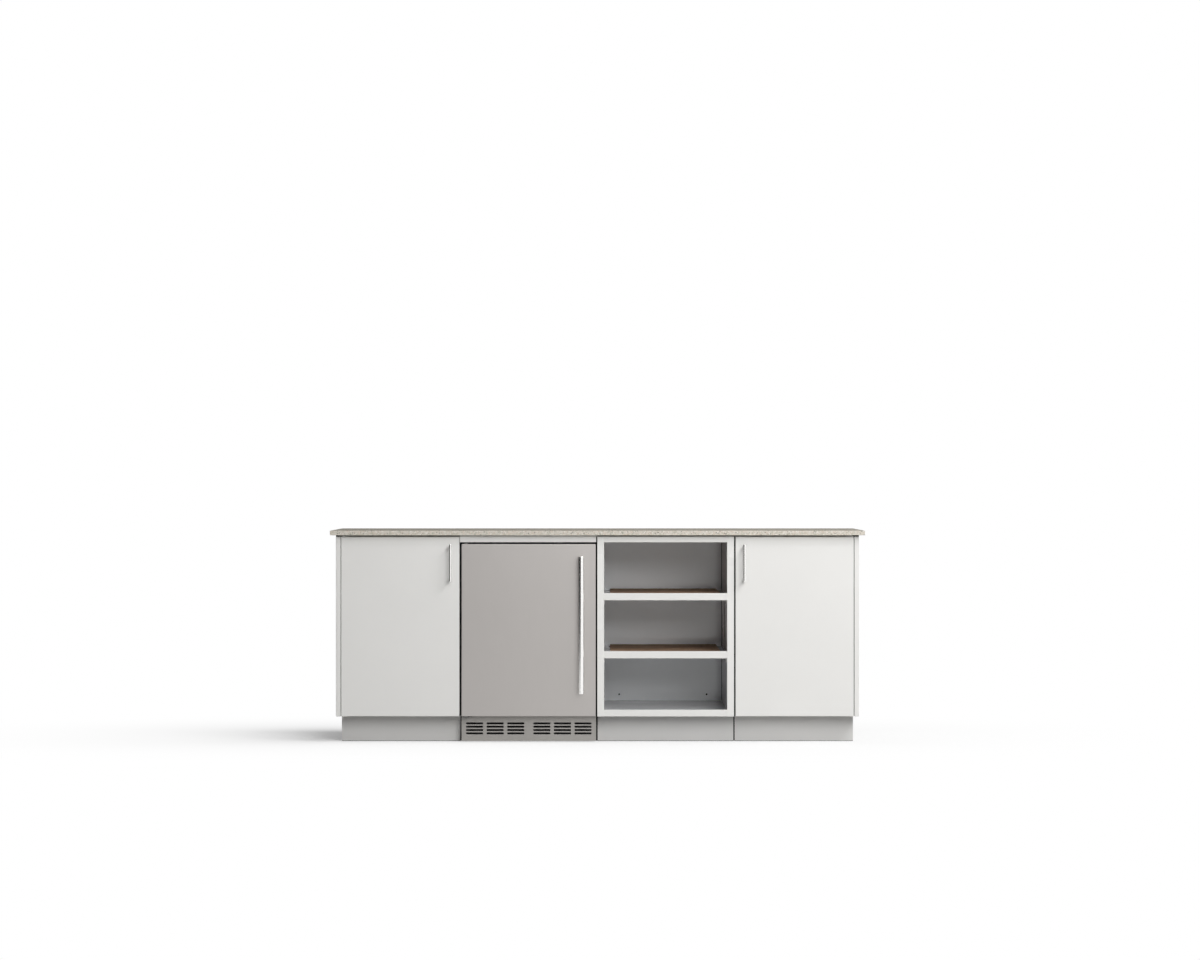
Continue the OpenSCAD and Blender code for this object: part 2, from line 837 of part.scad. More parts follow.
module bush(d, bore, len, flange_d, flange_t) {
    rotate_extrude()
        polygon([
            [bore / 2, -len], [d / 2, -len], [d / 2, 0], [flange_d / 2, 0],
            [flange_d / 2, flange_t], [bore / 2, flange_t]
        ]);
}

module left_bushes() {
    color(white) {
        translate([x_pivot, y_pivot, door_z1])
            bush(bush_d, pin_d + 2 * run_clear, bush_len, bush_flange_d, bush_flange_t);
        translate([x_pivot, y_pivot, door_z0])
            mirror([0, 0, 1])
                bush(bush_d, pin_d + 2 * run_clear, bush_len, bush_flange_d, bush_flange_t);
    }
}

function pull_posts() = [z_pull - pull_centres / 2, z_pull + pull_centres / 2];

module left_door() {
    pocket = bush_d + 2 * seat_clear;
    color(paint)
        difference() {
            faced_slab([x_door, y_front, door_z0], [x_door + door_w, y_front + door_t, door_z1], paint_r);
            rod_z([x_pivot, y_pivot], pocket, door_z1 - bush_len - seat_clear, door_z1 + cut);
            rod_z([x_pivot, y_pivot], pocket, door_z0 - cut, door_z0 + bush_len + seat_clear);
            for (z = pull_posts())
                rod_y(x_pull, z, screw_d + 2 * run_clear, y_front - cut, y_front + door_t + cut);
        }
}

module left_handle() {
    y_bar = y_front - pull_standoff;
    color(bright)
        difference() {
            union() {
                bar_pull([x_pull, y_bar], pull_d, z_pull - pull_len / 2, z_pull + pull_len / 2, paint_r);
                for (z = pull_posts())
                    rod_y(x_pull, z, pull_post_d, y_bar, y_front);
            }
            for (z = pull_posts())
                rod_y(x_pull, z, screw_d + 2 * run_clear, y_front - post_hole, y_front + cut);
        }
}

// Strike plate for the magnet, and the two handle screws
module left_door_fixings() {
    y_rear = y_front + door_t;
    color(bright) {
        along_y(y_rear, y_rear + strike_t,
            rounded([x_catch - catch_w / 2, z_catch], [x_catch + catch_w / 2, z_catch + catch_h],
                [1, 1, 1, 1] * paint_r));
        for (z = pull_posts()) {
            rod_y(x_pull, z, screw_d, y_front - post_hole + cut, y_rear + screw_head_t / 2);
            rod_y(x_pull, z, screw_head_d, y_rear, y_rear + screw_head_t);
        }
    }
}

module left_catch() {
    y_face = y_front + door_t + strike_t + magnet_gap;
    color(black)
        along_x(x_catch - catch_w / 2, x_catch + catch_w / 2,
            rounded([y_face, z_catch], [y_face + catch_d, z_catch + catch_h], [paint_r, paint_r, 0, 0]));
}

// Open shelf cabinet

module open_walls() {
    color(paint) wall_pair(x_open, x_open_end, y_front);
}

module open_floor() {
    color(paint) box_floor(x_open, x_open_end, y_front);
}

module open_back() {
    x_mid = (x_open + x_open_end) / 2;
    color(shade)
        difference() {
            box_back(x_open, x_open_end);
            for (x = [x_mid - fix_spacing / 2, x_mid + fix_spacing / 2])
                rod_y(x, fix_z, fix_d, y_back_face - cut, y_back + cut);
        }
}

module open_rails() {
    color(paint) box_rails(x_open, x_open_end, y_front);
}

// Fixed shelf: boxed panel with a raised front lip
module fixed_shelf(z) {
    color(paint)
        along_x(x_open + wall_t, x_open_end - wall_t, concat(
            corner([y_front + paint_r, z - lip_h + paint_r], paint_r, 180),
            [
                [y_back_face, z - lip_h],
                [y_back_face, z - board_t],
                [y_front + lip_d, z - board_t],
                [y_front + lip_d, z]
            ],
            corner([y_front + paint_r, z - paint_r], paint_r, 90)
        ));
}

module upper_shelf() {
    fixed_shelf(upper_shelf_top);
}

module lower_shelf() {
    fixed_shelf(lower_shelf_top);
}

module shelf_board(z) {
    color(timber)
        block([x_open + wall_t + board_side, y_front + lip_d + board_gap, z - board_t],
            [x_open_end - wall_t - board_side, y_back_face - board_gap, z]);
}

module upper_board() {
    shelf_board(upper_shelf_top);
}

module lower_board() {
    shelf_board(lower_shelf_top);
}

// Angle cleat under a shelf, against the wall at x, opening to +X
module cleat(x, z, turn) {
    translate([x, 0, z])
        mirror([turn, 0, 0])
            along_y(y_front + cleat_front, y_front + cleat_front + cleat_len, [
                [0, -cleat_leg], [cleat_t, -cleat_leg], [cleat_t, -cleat_t],
                [cleat_leg, -cleat_t], [cleat_leg, 0], [0, 0]
            ]);
}

module shelf_cleats() {
    color(paint)
        for (z = [upper_shelf_top - lip_h, lower_shelf_top - lip_h]) {
            cleat(x_open + wall_t, z, 0);
            cleat(x_open_end - wall_t, z, 1);
        }
}

// Fridge bay

module appliance_rails() {
    color(paint) {
        difference() {
            along_x(x_bay, x_open,
                rounded([y_front, z_filler], [y_front + door_t, box_top], [paint_r, 0, 0, paint_r]));
            block([x_open - rail_seam, y_front - cut, z_filler - cut],
                [x_open + cut, y_front + rail_seam_d, box_top + cut]);
        }
        along_x(x_bay, x_open,
            rounded([y_back - rail_d, z_filler], [y_back, box_top], [0, 0, 0, 0]));
    }
}

// Bent tabs that tie the fridge's top to the rail in front
module anti_tip_tabs() {
    y_leg = y_front + door_t;
    color(black)
        for (x = [x_fridge - tab_side, x_fridge + tab_side])
            along_x(x - tab_w / 2, x + tab_w / 2, [
                [y_leg, case_z1],
                [y_case + tab_len, case_z1],
                [y_case + tab_len, case_z1 + tab_t],
                [y_leg + tab_t, case_z1 + tab_t],
                [y_leg + tab_t, box_top - tab_top_gap],
                [y_leg, box_top - tab_top_gap]
            ]);
}

// Foamed panels of the fridge body: sides, top, back, base and machine step
module fridge_case() {
    x0 = x_cold;
    x1 = x_cold_end;
    side = [
        [y_case, case_toe_z], [y_case_toe, case_toe_z], [y_case_toe, case_z0],
        [y_case_back, case_z0], [y_case_back, case_z1], [y_case, case_z1]
    ];
    color(shade) {
        along_x(x_case, x0, side);
        along_x(x1, x_case_end, side);
        block([x0, y_case, z_cold_top], [x1, y_case_back, case_z1]);
        block([x0, y_cold_back, z_hump], [x1, y_case_back, z_cold_top]);
        block([x0, y_case, case_toe_z], [x1, y_hump, z_cold_floor]);
        block([x0, y_hump - case_wall, z_cold_floor], [x1, y_hump, z_hump]);
        block([x0, y_hump, z_hump - case_wall], [x1, y_case_back, z_hump]);
        block([x0, y_case_toe, case_z0], [x1, y_case_back, case_z0 + sheet_t]);
    }
}

// Side profile of the cold space, drawn in by o from the foamed panels
function cold_profile(o) = [
    [y_case, z_cold_floor + o],
    [y_hump - case_wall - o, z_cold_floor + o],
    [y_hump - case_wall - o, z_hump + o],
    [y_cold_back - o, z_hump + o],
    [y_cold_back - o, z_cold_top - o],
    [y_case, z_cold_top - o]
];

// Moulded lining, with ledges for the racks
module fridge_liner() {
    inner = rounded([x_cold + liner_t, z_cold_floor - cut], [x_cold_end - liner_t, z_ceiling],
        [0, 0, 1, 1] * liner_r);
    color(white)
        difference() {
            along_x(x_cold, x_cold_end, cold_profile(0));
            intersection() {
                translate([0, -cut, 0])
                    along_x(x_cold + liner_t, x_cold_end - liner_t, cold_profile(liner_t));
                along_y(y_case - 2 * cut, y_cold_back, inner);
            }
            block([x_cold + liner_t, y_case - 2 * cut, z_cold_floor + liner_t],
                [x_cold_end - liner_t, y_case + cut, z_ceiling - liner_r]);
        }
    color(white)
        for (z = [lower_rack_z, upper_rack_z]) {
            z_ledge = z - rack_wire_d / 2 - ledge_gap;
            for (x = [x_cold + liner_t, x_cold_end - liner_t - ledge_w])
                block([x, y_case + rack_front, z_ledge - ledge_h],
                    [x + ledge_w, y_cold_back - liner_t, z_ledge]);
        }
}

// Wire rack: a frame of thick wire with thin rods from front to back
module rack(z) {
    x0 = x_cold + liner_t + rack_gap + rack_wire_d / 2;
    x1 = x_cold_end - liner_t - rack_gap - rack_wire_d / 2;
    y0 = y_case + rack_front + rack_overrun;
    y1 = y0 + rack_depth - 2 * rack_overrun;
    rods = floor((x1 - x0) / rack_pitch);
    for (x = [x0, x1])
        rod_y(x, z, rack_wire_d, y0 - rack_overrun, y1 + rack_overrun);
    for (y = [y0, (y0 + y1) / 2, y1])
        rod_x(y, z, rack_bar_d, x0, x1);
    for (i = [1:rods - 1])
        rod_y(x0 + i * (x1 - x0) / rods, z, rack_rod_d, y0, y1);
}

module fridge_racks() {
    color(bright)
        for (z = [lower_rack_z, upper_rack_z]) rack(z);
}

// Recessed vent panel: rows of sloping slots, with a wing at each end
module toe_grille() {
    y0 = y_front + grille_recess;
    slot_step = slot_w + slot_gap;
    slot_start = (slot_mid_gap + slot_w) / 2;
    color(steel)
        difference() {
            union() {
                along_z(grille_z0, case_toe_z, rounded([x_case, y0], [x_case_end, y0 + grille_t],
                    [paint_r, paint_r, 0, 0]));
                for (x = [x_case, x_case_end - sheet_t])
                    block([x, y0 + grille_t - cut, grille_z0], [x + sheet_t, y_case_toe, case_toe_z]);
            }
            for (side = [-1, 1])
                for (col = [0:slot_cols - 1])
                    for (row = [0:slot_rows - 1])
                        translate([x_fridge + side * (slot_start + col * slot_step), y0 + grille_t / 2,
                            slot_first + row * slot_pitch])
                            rotate([slot_slope, 0, 0])
                                cube([slot_w, 4 * grille_t, slot_h], center = true);
            block([x_case - cut, y0 - cut, case_toe_z - fplate_t - seat_clear],
                [x_fpivot + 2 * fnose_r + cut, y_case_toe + cut, case_toe_z + cut]);
        }
}

// Welded compressor shell on its feet plate
module compressor() {
    r = compressor_d / 2;
    h = compressor_h;
    dome = h / 3;
    plate = plate_t;
    z0 = case_z0 + sheet_t;
    y_c = y_hump + machine_d / 2;
    color(black)
        translate([x_fridge - r, y_c, z0]) {
            rotate_extrude()
                polygon(concat(
                    [[0, plate / 2], [compressor_foot_d / 2, plate / 2], [r, dome / 2 + plate]],
                    [for (i = [0:2 * arc_steps]) [r * cos(90 * i / (2 * arc_steps)),
                        h - dome + dome * sin(90 * i / (2 * arc_steps))]],
                    [[0, h]]
                ));
            translate([-r, -compressor_plate_half, 0]) cube([2 * r, 2 * compressor_plate_half, plate]);
        }
}

// Back plate of the machine space, with vent slots
module machine_cover() {
    slots = 6;
    step = (machine_h - case_wall) / (slots + 1);
    color(shade)
        difference() {
            block([x_cold, y_case_back - sheet_t, case_z0 + sheet_t],
                [x_cold_end, y_case_back, z_hump - case_wall]);
            for (side = [-1, 1])
                for (i = [1:slots])
                    translate([x_fridge + side * (slot_mid_gap + slot_w), y_case_back,
                        case_z0 + i * step + slot_h])
                        cube([2 * slot_w, 4 * sheet_t, slot_h], center = true);
        }
}

module fridge_feet() {
    color(black)
        for (x = [x_case + case_wall / 2, x_case_end - case_wall / 2])
            for (y = [y_case_toe + fridge_foot_d, y_case_back - fridge_foot_d])
                translate([x, y, 0])
                    rotate_extrude()
                        polygon([
                            [0, 0], [fridge_foot_d / 2 - fridge_foot_edge, 0],
                            [fridge_foot_d / 2, fridge_foot_edge], [fridge_foot_d / 2, foot_pad_t],
                            [foot_stem_d / 2, foot_pad_t + fridge_foot_edge],
                            [foot_stem_d / 2, case_z0], [0, case_z0]
                        ]);
}

module fridge_hinge_brackets() {
    c = [x_fpivot, y_fpivot];
    outline = plate_outline(c, fnose_r, 2 * fnose_r, y_case, y_case + fplate_len);
    color(black) {
        along_z(case_z1, case_z1 + fplate_t, outline);
        rod_z(c, fpin_d, fdoor_z1 - fbush_len + cut, case_z1 + fplate_t / 2);
        along_z(case_toe_z - fplate_t, case_toe_z, outline);
        rod_z(c, fpin_d, case_toe_z - fplate_t / 2, fdoor_z0 + fbush_len - cut);
    }
}

module fridge_bushes() {
    flange_t = fplate_gap - fbush_gap;
    color(white) {
        translate([x_fpivot, y_fpivot, fdoor_z1])
            bush(fbush_d, fpin_d + 2 * run_clear, fbush_len, fbush_flange_d, flange_t);
        translate([x_fpivot, y_fpivot, fdoor_z0])
            mirror([0, 0, 1])
                bush(fbush_d, fpin_d + 2 * run_clear, fbush_len, fbush_flange_d, flange_t);
    }
}

module fridge_door() {
    pocket = fbush_d + 2 * seat_clear;
    color(steel)
        difference() {
            faced_slab([x_fdoor, y_front, fdoor_z0], [x_fdoor_end, y_fdoor_back, fdoor_z1], fdoor_r);
            rod_z([x_fpivot, y_fpivot], pocket, fdoor_z1 - fbush_len - seat_clear, fdoor_z1 + cut);
            rod_z([x_fpivot, y_fpivot], pocket, fdoor_z0 - cut, fdoor_z0 + fbush_len + seat_clear);
        }
}

// Rectangle of the door's rear face, drawn in by o
function rear_rect(o, r) =
    rounded([x_fdoor + o, fdoor_z0 + o], [x_fdoor_end - o, fdoor_z1 - o], [1, 1, 1, 1] * r);

module fridge_gasket() {
    base_depth = gasket_t / 3;
    color(black)
        difference() {
            union() {
                along_y(y_fdoor_back, y_fdoor_back + base_depth, rear_rect(gasket_in, paint_r));
                along_y(y_fdoor_back + base_depth, y_case, rear_rect(gasket_in + gasket_lip_in, paint_r));
            }
            along_y(y_fdoor_back - cut, y_case + cut, rear_rect(gasket_in + gasket_w, 0));
        }
}

// Moulded inner panel of the fridge door, with a raised dyke all round
module fridge_door_liner() {
    inset = gasket_in + gasket_w + gasket_gap;
    p = [x_cold + liner_t + dyke_gap, z_cold_floor + liner_t + dyke_gap];
    q = [x_cold_end - liner_t - dyke_gap, z_ceiling - dyke_gap];
    w = [dyke_w, dyke_w];
    color(white)
        difference() {
            union() {
                along_y(y_fdoor_back, y_fdoor_back + liner_t, rear_rect(inset, 0));
                along_y(y_fdoor_back, y_fdoor_back + dyke_h, rounded(p, q, [1, 1, 1, 1] * liner_r));
            }
            along_y(y_fdoor_back + liner_t, y_fdoor_back + dyke_h + cut,
                rounded(p + w, q - w, [1, 1, 1, 1] * liner_r / 2));
        }
}

module fridge_handle() {
    y_bar = y_front - bar_standoff;
    color(bright) {
        bar_pull([x_bar, y_bar], bar_d, z_bar, z_bar + bar_len, fdoor_r);
        for (z = [z_bar + bar_post_in, z_bar + bar_len - bar_post_in])
            rod_y(x_bar, z, bar_post_d, y_bar, y_front);
    }
}

// Fridge controls

// Switch well in the housing, open to the front
module control_housing() {
    half = control_w / 2;
    well_w = switch_w + 2 * switch_gap;
    well_h = switch_h + 2 * switch_gap;
    color(white)
        difference() {
            along_y(y_control, y_control + control_d,
                rounded([x_fridge - half, z_control], [x_fridge + half, z_ceiling],
                    [control_r, control_r, 0, 0]));
            rod_y(x_dial, z_dial, spindle_d + 2 * run_clear, y_control - cut, y_control + spindle_hole);
            block([x_switch - well_w / 2, y_control - cut, z_dial - well_h / 2],
                [x_switch + well_w / 2, y_control + switch_w, z_dial + well_h / 2]);
            for (turn = [-1, 1])
                rod_x(y_control + switch_w / 2, z_dial, switch_pin_d + 2 * run_clear,
                    x_switch + turn * switch_w / 2 - switch_pin_hole,
                    x_switch + turn * switch_w / 2 + switch_pin_hole);
        }
}

module lamp_lens() {
    y_lens = y_control + control_d;
    color(white)
        along_x(x_fridge - control_side, x_fridge + control_side,
            rounded([y_lens, z_control + lens_rise], [y_lens + lens_d, z_ceiling], [0, lens_r, 0, 0]));
}

// Fluted dial with a raised pointer and a spindle
module thermostat_dial() {
    y_face = y_control - dial_t;
    color(bright)
        difference() {
            union() {
                rod_y(x_dial, z_dial, dial_d, y_face, y_control - dial_gap);
                rod_y(x_dial, z_dial, spindle_d, y_control - dial_rim,
                    y_control + spindle_hole - spindle_air);
                block([x_dial - pointer_w / 2, y_face - pointer_h, z_dial],
                    [x_dial + pointer_w / 2, y_face + pointer_h, z_dial + dial_d / 2 - pointer_in]);
            }
            for (i = [0:dial_flutes - 1])
                translate([x_dial, 0, z_dial])
                    rotate([0, 360 * (i + 0.5) / dial_flutes, 0])
                        rod_y(dial_d / 2 + flute_d / 4, 0, flute_d, y_face - cut, y_control - dial_rim);
        }
}

// Rocker on a cross pin
module light_switch() {
    y_c = y_control + switch_w / 2;
    color(black) {
        along_x(x_switch - switch_w / 2, x_switch + switch_w / 2, [
            [y_control + switch_w - switch_air, z_dial - switch_h / 4],
            [y_control + switch_w - switch_air, z_dial + switch_h / 4],
            [y_control - switch_rise, z_dial + switch_h / 2 - switch_rise],
            [y_control + switch_dip, z_dial],
            [y_control - switch_rise, z_dial - switch_h / 2 + switch_rise]
        ]);
        rod_x(y_c, z_dial, switch_pin_d, x_switch - switch_w / 2 - switch_gap - switch_pin_in,
            x_switch + switch_w / 2 + switch_gap + switch_pin_in);
    }
}

countertop();
worktop_deck();
left_end_panel();
right_side() left_end_panel();  // right_end_panel
levelling_feet();
foot_sockets();
left_toe_kick();
open_toe_kick();
right_side() left_toe_kick();  // right_toe_kick
left_walls();
left_floor();
left_back();
left_rails();
left_inner_shelf();
left_hinge_plates();
left_catch();
left_door();
left_handle();
left_bushes();
left_door_fixings();
right_side() left_walls();  // right_walls
right_side() left_floor();  // right_floor
right_side() left_back();  // right_back
right_side() left_rails();  // right_rails
right_side() left_inner_shelf();  // right_inner_shelf
right_side() left_hinge_plates();  // right_hinge_plates
right_side() left_catch();  // right_catch
right_side() left_door();  // right_door
right_side() left_handle();  // right_handle
right_side() left_bushes();  // right_bushes
right_side() left_door_fixings();  // right_door_fixings
shelf_supports();
open_walls();
open_floor();
open_back();
open_rails();
upper_shelf();
lower_shelf();
upper_board();
lower_board();
shelf_cleats();
appliance_rails();
anti_tip_tabs();
fridge_case();
fridge_liner();
fridge_racks();
toe_grille();
compressor();
machine_cover();
fridge_feet();
fridge_hinge_brackets();
control_housing();
lamp_lens();
fridge_door();
fridge_door_liner();
fridge_gasket();
fridge_handle();
fridge_bushes();
thermostat_dial();
light_switch();
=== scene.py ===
"""Looks of an outdoor kitchen run: stone top, painted cabinets, a fridge and an open shelf bay.

Everything is in metres, in the frame of the packed part: X along the front, fronts face -Y, Z up.
"""

import json
import math

import bmesh
import bpy
import numpy as np
from bpy.props import FloatProperty, FloatVectorProperty, IntProperty, PointerProperty
from bpy.types import Operator, Panel, PropertyGroup
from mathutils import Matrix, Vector


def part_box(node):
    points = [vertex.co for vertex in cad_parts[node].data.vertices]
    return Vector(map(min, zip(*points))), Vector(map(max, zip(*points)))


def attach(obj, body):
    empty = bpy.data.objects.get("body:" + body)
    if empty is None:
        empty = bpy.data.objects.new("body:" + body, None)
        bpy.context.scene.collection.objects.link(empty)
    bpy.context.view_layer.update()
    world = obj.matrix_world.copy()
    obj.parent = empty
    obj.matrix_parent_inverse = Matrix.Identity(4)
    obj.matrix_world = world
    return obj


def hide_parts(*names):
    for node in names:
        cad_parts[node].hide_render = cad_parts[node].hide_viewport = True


bl_info = {
    "name": "Outdoor kitchen looks",
    "version": (1, 0, 0),
    "blender": (4, 5, 0),
    "location": "3D View > Sidebar > Kitchen",
    "description": "Surfaces, finishes and studio for an outdoor kitchen run",
    "category": "Object",
}

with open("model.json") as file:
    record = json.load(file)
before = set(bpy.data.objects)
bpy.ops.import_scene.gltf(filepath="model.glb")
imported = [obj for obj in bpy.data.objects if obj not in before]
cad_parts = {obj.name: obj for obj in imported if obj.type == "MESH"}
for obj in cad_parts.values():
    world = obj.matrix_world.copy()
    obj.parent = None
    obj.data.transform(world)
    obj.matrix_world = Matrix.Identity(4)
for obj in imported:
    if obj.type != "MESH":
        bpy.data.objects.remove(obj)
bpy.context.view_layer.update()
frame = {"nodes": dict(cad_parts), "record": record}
NODES = frame["nodes"]

X, Y, Z = 0, 1, 2
# The two axes across each one
ACROSS = ((Y, Z), (Z, X), (X, Y))
SIDES = ("left", "right")
CABINETS = ("left", "open", "right")
WHITE = (1.0, 1.0, 1.0, 1.0)
# Least radius of a corner, and the gap between a strip and its neighbours
TINY = 0.00004
# Points that lie nearer than this become one
MERGE = 0.000002
# Material of each slot, filled by make_finishes
FINISHES = {}


# Values a user would change


def length(name, text, value):
    """A size in metres."""
    return FloatProperty(name=name, description=text, default=value, min=0.0, precision=4, unit="LENGTH")


def ratio(name, text, value):
    """A plain number from 0 up."""
    return FloatProperty(name=name, description=text, default=value, min=0.0)


def tone(red, green, blue):
    """Linear colour of a displayed one, each part from 0 to 255."""
    parts = [value / 255 for value in (red, green, blue)]
    return tuple(p / 12.92 if p <= 0.04045 else ((p + 0.055) / 1.055) ** 2.4 for p in parts)


def colour(name, text, red, green, blue):
    """A colour, given as it is displayed."""
    return FloatVectorProperty(
        name=name, description=text, default=tone(red, green, blue), subtype="COLOR", size=3, min=0.0, max=1.0
    )


class WorktopLooks(PropertyGroup):
    """Stone slab"""

    edge: length("Eased edge", "Rounding of the slab's edges", 0.0015)
    ground: colour("Ground", "Main tone of the stone", 214, 208, 197)
    pale: colour("Pale crystals", "Tone of the palest crystals", 236, 232, 224)
    warm: colour("Warm crystals", "Tone of the beige crystals", 206, 190, 173)
    green: colour("Green crystals", "Tone of the grey green crystals", 178, 179, 163)
    dark: colour("Dark specks", "Tone of the few dark specks", 108, 104, 96)
    # Painted shade: the top face is drawn darker than the edges by this share, standing in for how light
    # falls on it.
    top: ratio("Top tone", "Tone of the smoother top as a share of the edges' tone", 0.86)


class PaintLooks(PropertyGroup):
    """Powder coat"""

    white: colour("Cabinet paint", "Tone of doors, panels and boxes", 238, 237, 234)
    plinth: colour("Plinth paint", "Tone of the plinth boards", 210, 209, 207)
    # Painted light: the back panel's tone is raised above the cabinet white, so that the shaded back of the
    # bay reads brighter.
    back: colour("Back paint", "Tone of the open bay's back panel", 250, 252, 254)
    # Painted shade: the open bay's faces behind their front edges take this darker tone, standing in for the
    # shade inside the bay.
    bay: colour("Bay paint", "Tone of the open bay behind its front edges", 190, 190, 191)
    bay_edge: length("Bay edge", "Depth of the open bay's front edges, which have the cabinet paint", 0.004)
    orange_peel: length("Orange peel", "Depth of the paint's fine ripple", 0.00001)
    door_edge: length("Door edge", "Rounding of doors and end panels", 0.0016)
    groove_in: length("Pan seam", "Distance from a door's rear edge to the seam of its rear pan", 0.012)
    groove: length("Seam width", "Width of the seam in a door's rear", 0.0016)


class HandleLooks(PropertyGroup):
    """Bar handles"""

    end_round: length("End rounding", "Rounding of a cabinet handle's ends", 0.0015)
    flare: length("Foot flare", "How far a post widens at the door", 0.002)
    fridge_round: length("Fridge end rounding", "Rounding of the fridge handle's ends", 0.003)
    fridge_bar: length("Fridge bar", "Diameter of the fridge handle", 0.025)
    fridge_post: length("Fridge post", "Diameter of the fridge handle's posts", 0.016)
    fridge_post_in: length("Fridge post inset", "Distance from the handle's ends to its posts", 0.022)
    bar: length("Cabinet bar", "Diameter of a cabinet handle", 0.012)
    post: length("Cabinet post", "Diameter of a cabinet handle's posts", 0.009)
    centres: length("Post distance", "Distance between a cabinet handle's posts", 0.140)
    metal: colour("Satin metal", "Tone of the handles", 250, 249, 247)


class GrilleLooks(PropertyGroup):
    """Toe grille"""

    slot_w: length("Slot width", "Width of a slot", 0.0735)
    slot_h: length("Slot height", "Height of a slot", 0.0085)
    slot_gap: length("Slot gap", "Gap between slots in a row", 0.0155)
    mid_gap: length("Middle gap", "Wider gap in the middle of a row", 0.0394)
    pitch: length("Row spacing", "Spacing of the rows", 0.0144)
    first: length("First row", "Height of the lowest row's middle", 0.0374)
    panel: length("Thickness", "Thickness of the grille's panel", 0.010)
    rim: length("Slot rim", "Rounding of a slot's rim", 0.0008)
    corner: length("Slot corner", "Rounding of a slot's corners", 0.003)
    slope: ratio("Slope", "Slope of the slots in degrees", 18.0)
    notch: length("Bracket notch", "Reach of the notch from the outside of the fridge's hinge bracket", 0.037)
    wing: length("Wing", "Thickness of the folded wings at the panel's ends", 0.0015)


class FridgeLooks(PropertyGroup):
    """Fridge"""

    door_edge: length("Door edge", "Rounding of the fridge door's edges", 0.003)
    steel: colour("Door steel", "Tone of the brushed steel", 178, 174, 171)
    grille: colour("Grille steel", "Tone of the toe grille", 160, 157, 153)
    gasket_in: length("Seal inset", "Distance from the door's edge to its seal", 0.024)
    gasket_w: length("Seal width", "Width of the seal", 0.012)
    gasket_t: length("Seal depth", "Depth of the seal between door and body", 0.008)
    rack_frame: length("Rack frame", "Diameter of a rack's frame wire", 0.006)
    rack_corner: length("Rack corner", "Rounding of a rack's corners", 0.018)
    rack_bar: length("Rack bar", "Diameter of a rack's cross bars", 0.005)
    rack_bar_in: length("Rack bar inset", "Distance from the frame to the first and last cross bar", 0.012)
    rack_rod: length("Rack rod", "Diameter of a rack's thin rods", 0.003)
    rack_pitch: length("Rod spacing", "Spacing of a rack's thin rods", 0.026)
    dial: length("Dial", "Diameter of the thermostat dial", 0.026)
    dial_height: length("Dial height", "How far the dial stands out from its housing", 0.009)
    flutes: IntProperty(name="Flutes", description="Grip flutes round the dial", default=12, min=6, max=24)


class SealLooks(PropertyGroup):
    """Joint seals"""

    inset: length("Set back", "How far a strip lies behind the edge of its joint", 0.004)
    depth: length("Depth", "Depth of a strip", 0.010)
    # Painted shadow: the floor seals are black strips under the plinths, partly seals and partly the contact
    # shadow there.
    foot_inset: length("Floor seal inset", "How far a floor seal lies behind the plinth's face", 0.001)
    # Painted shade: the tape and the buffers are black strips put in the gaps beside the doors and the
    # fridge, where shade falls.
    tape: length("Tape", "Thickness of the dark tape beside the hinge edges and the fridge", 0.0003)
    buffer: length("Door buffer", "Thickness of the strips on the boxes beside the doors", 0.0024)
    # Painted light: a pale strip in front of the backing board over the fridge, which makes the dark line
    # under the slab lighter there.
    trim: length("Trim", "Thickness of the painted trim strip over the fridge", 0.002)
    rail_seam: length("Rail seam", "Width of the seam at the end of the rail over the fridge", 0.005)
    rail_depth: length("Rail seam depth", "Depth of the seam at the end of the rail over the fridge", 0.012)
    # Black of the joint strips: seals, and also painted shade in the gaps they fill.
    foam: colour("Foam", "Tone of the black foam", 14, 14, 15)


class ShelfLooks(PropertyGroup):
    """Shelf boards"""

    edge: length("Board edge", "Rounding of the boards' edges", 0.001)
    brown: colour("Wood", "Main tone of the boards", 143, 115, 91)
    dark: colour("Dark grain", "Tone of the grain's dark lines", 98, 73, 53)
    pale: colour("Pale grain", "Tone of the grain's pale lines", 170, 141, 116)


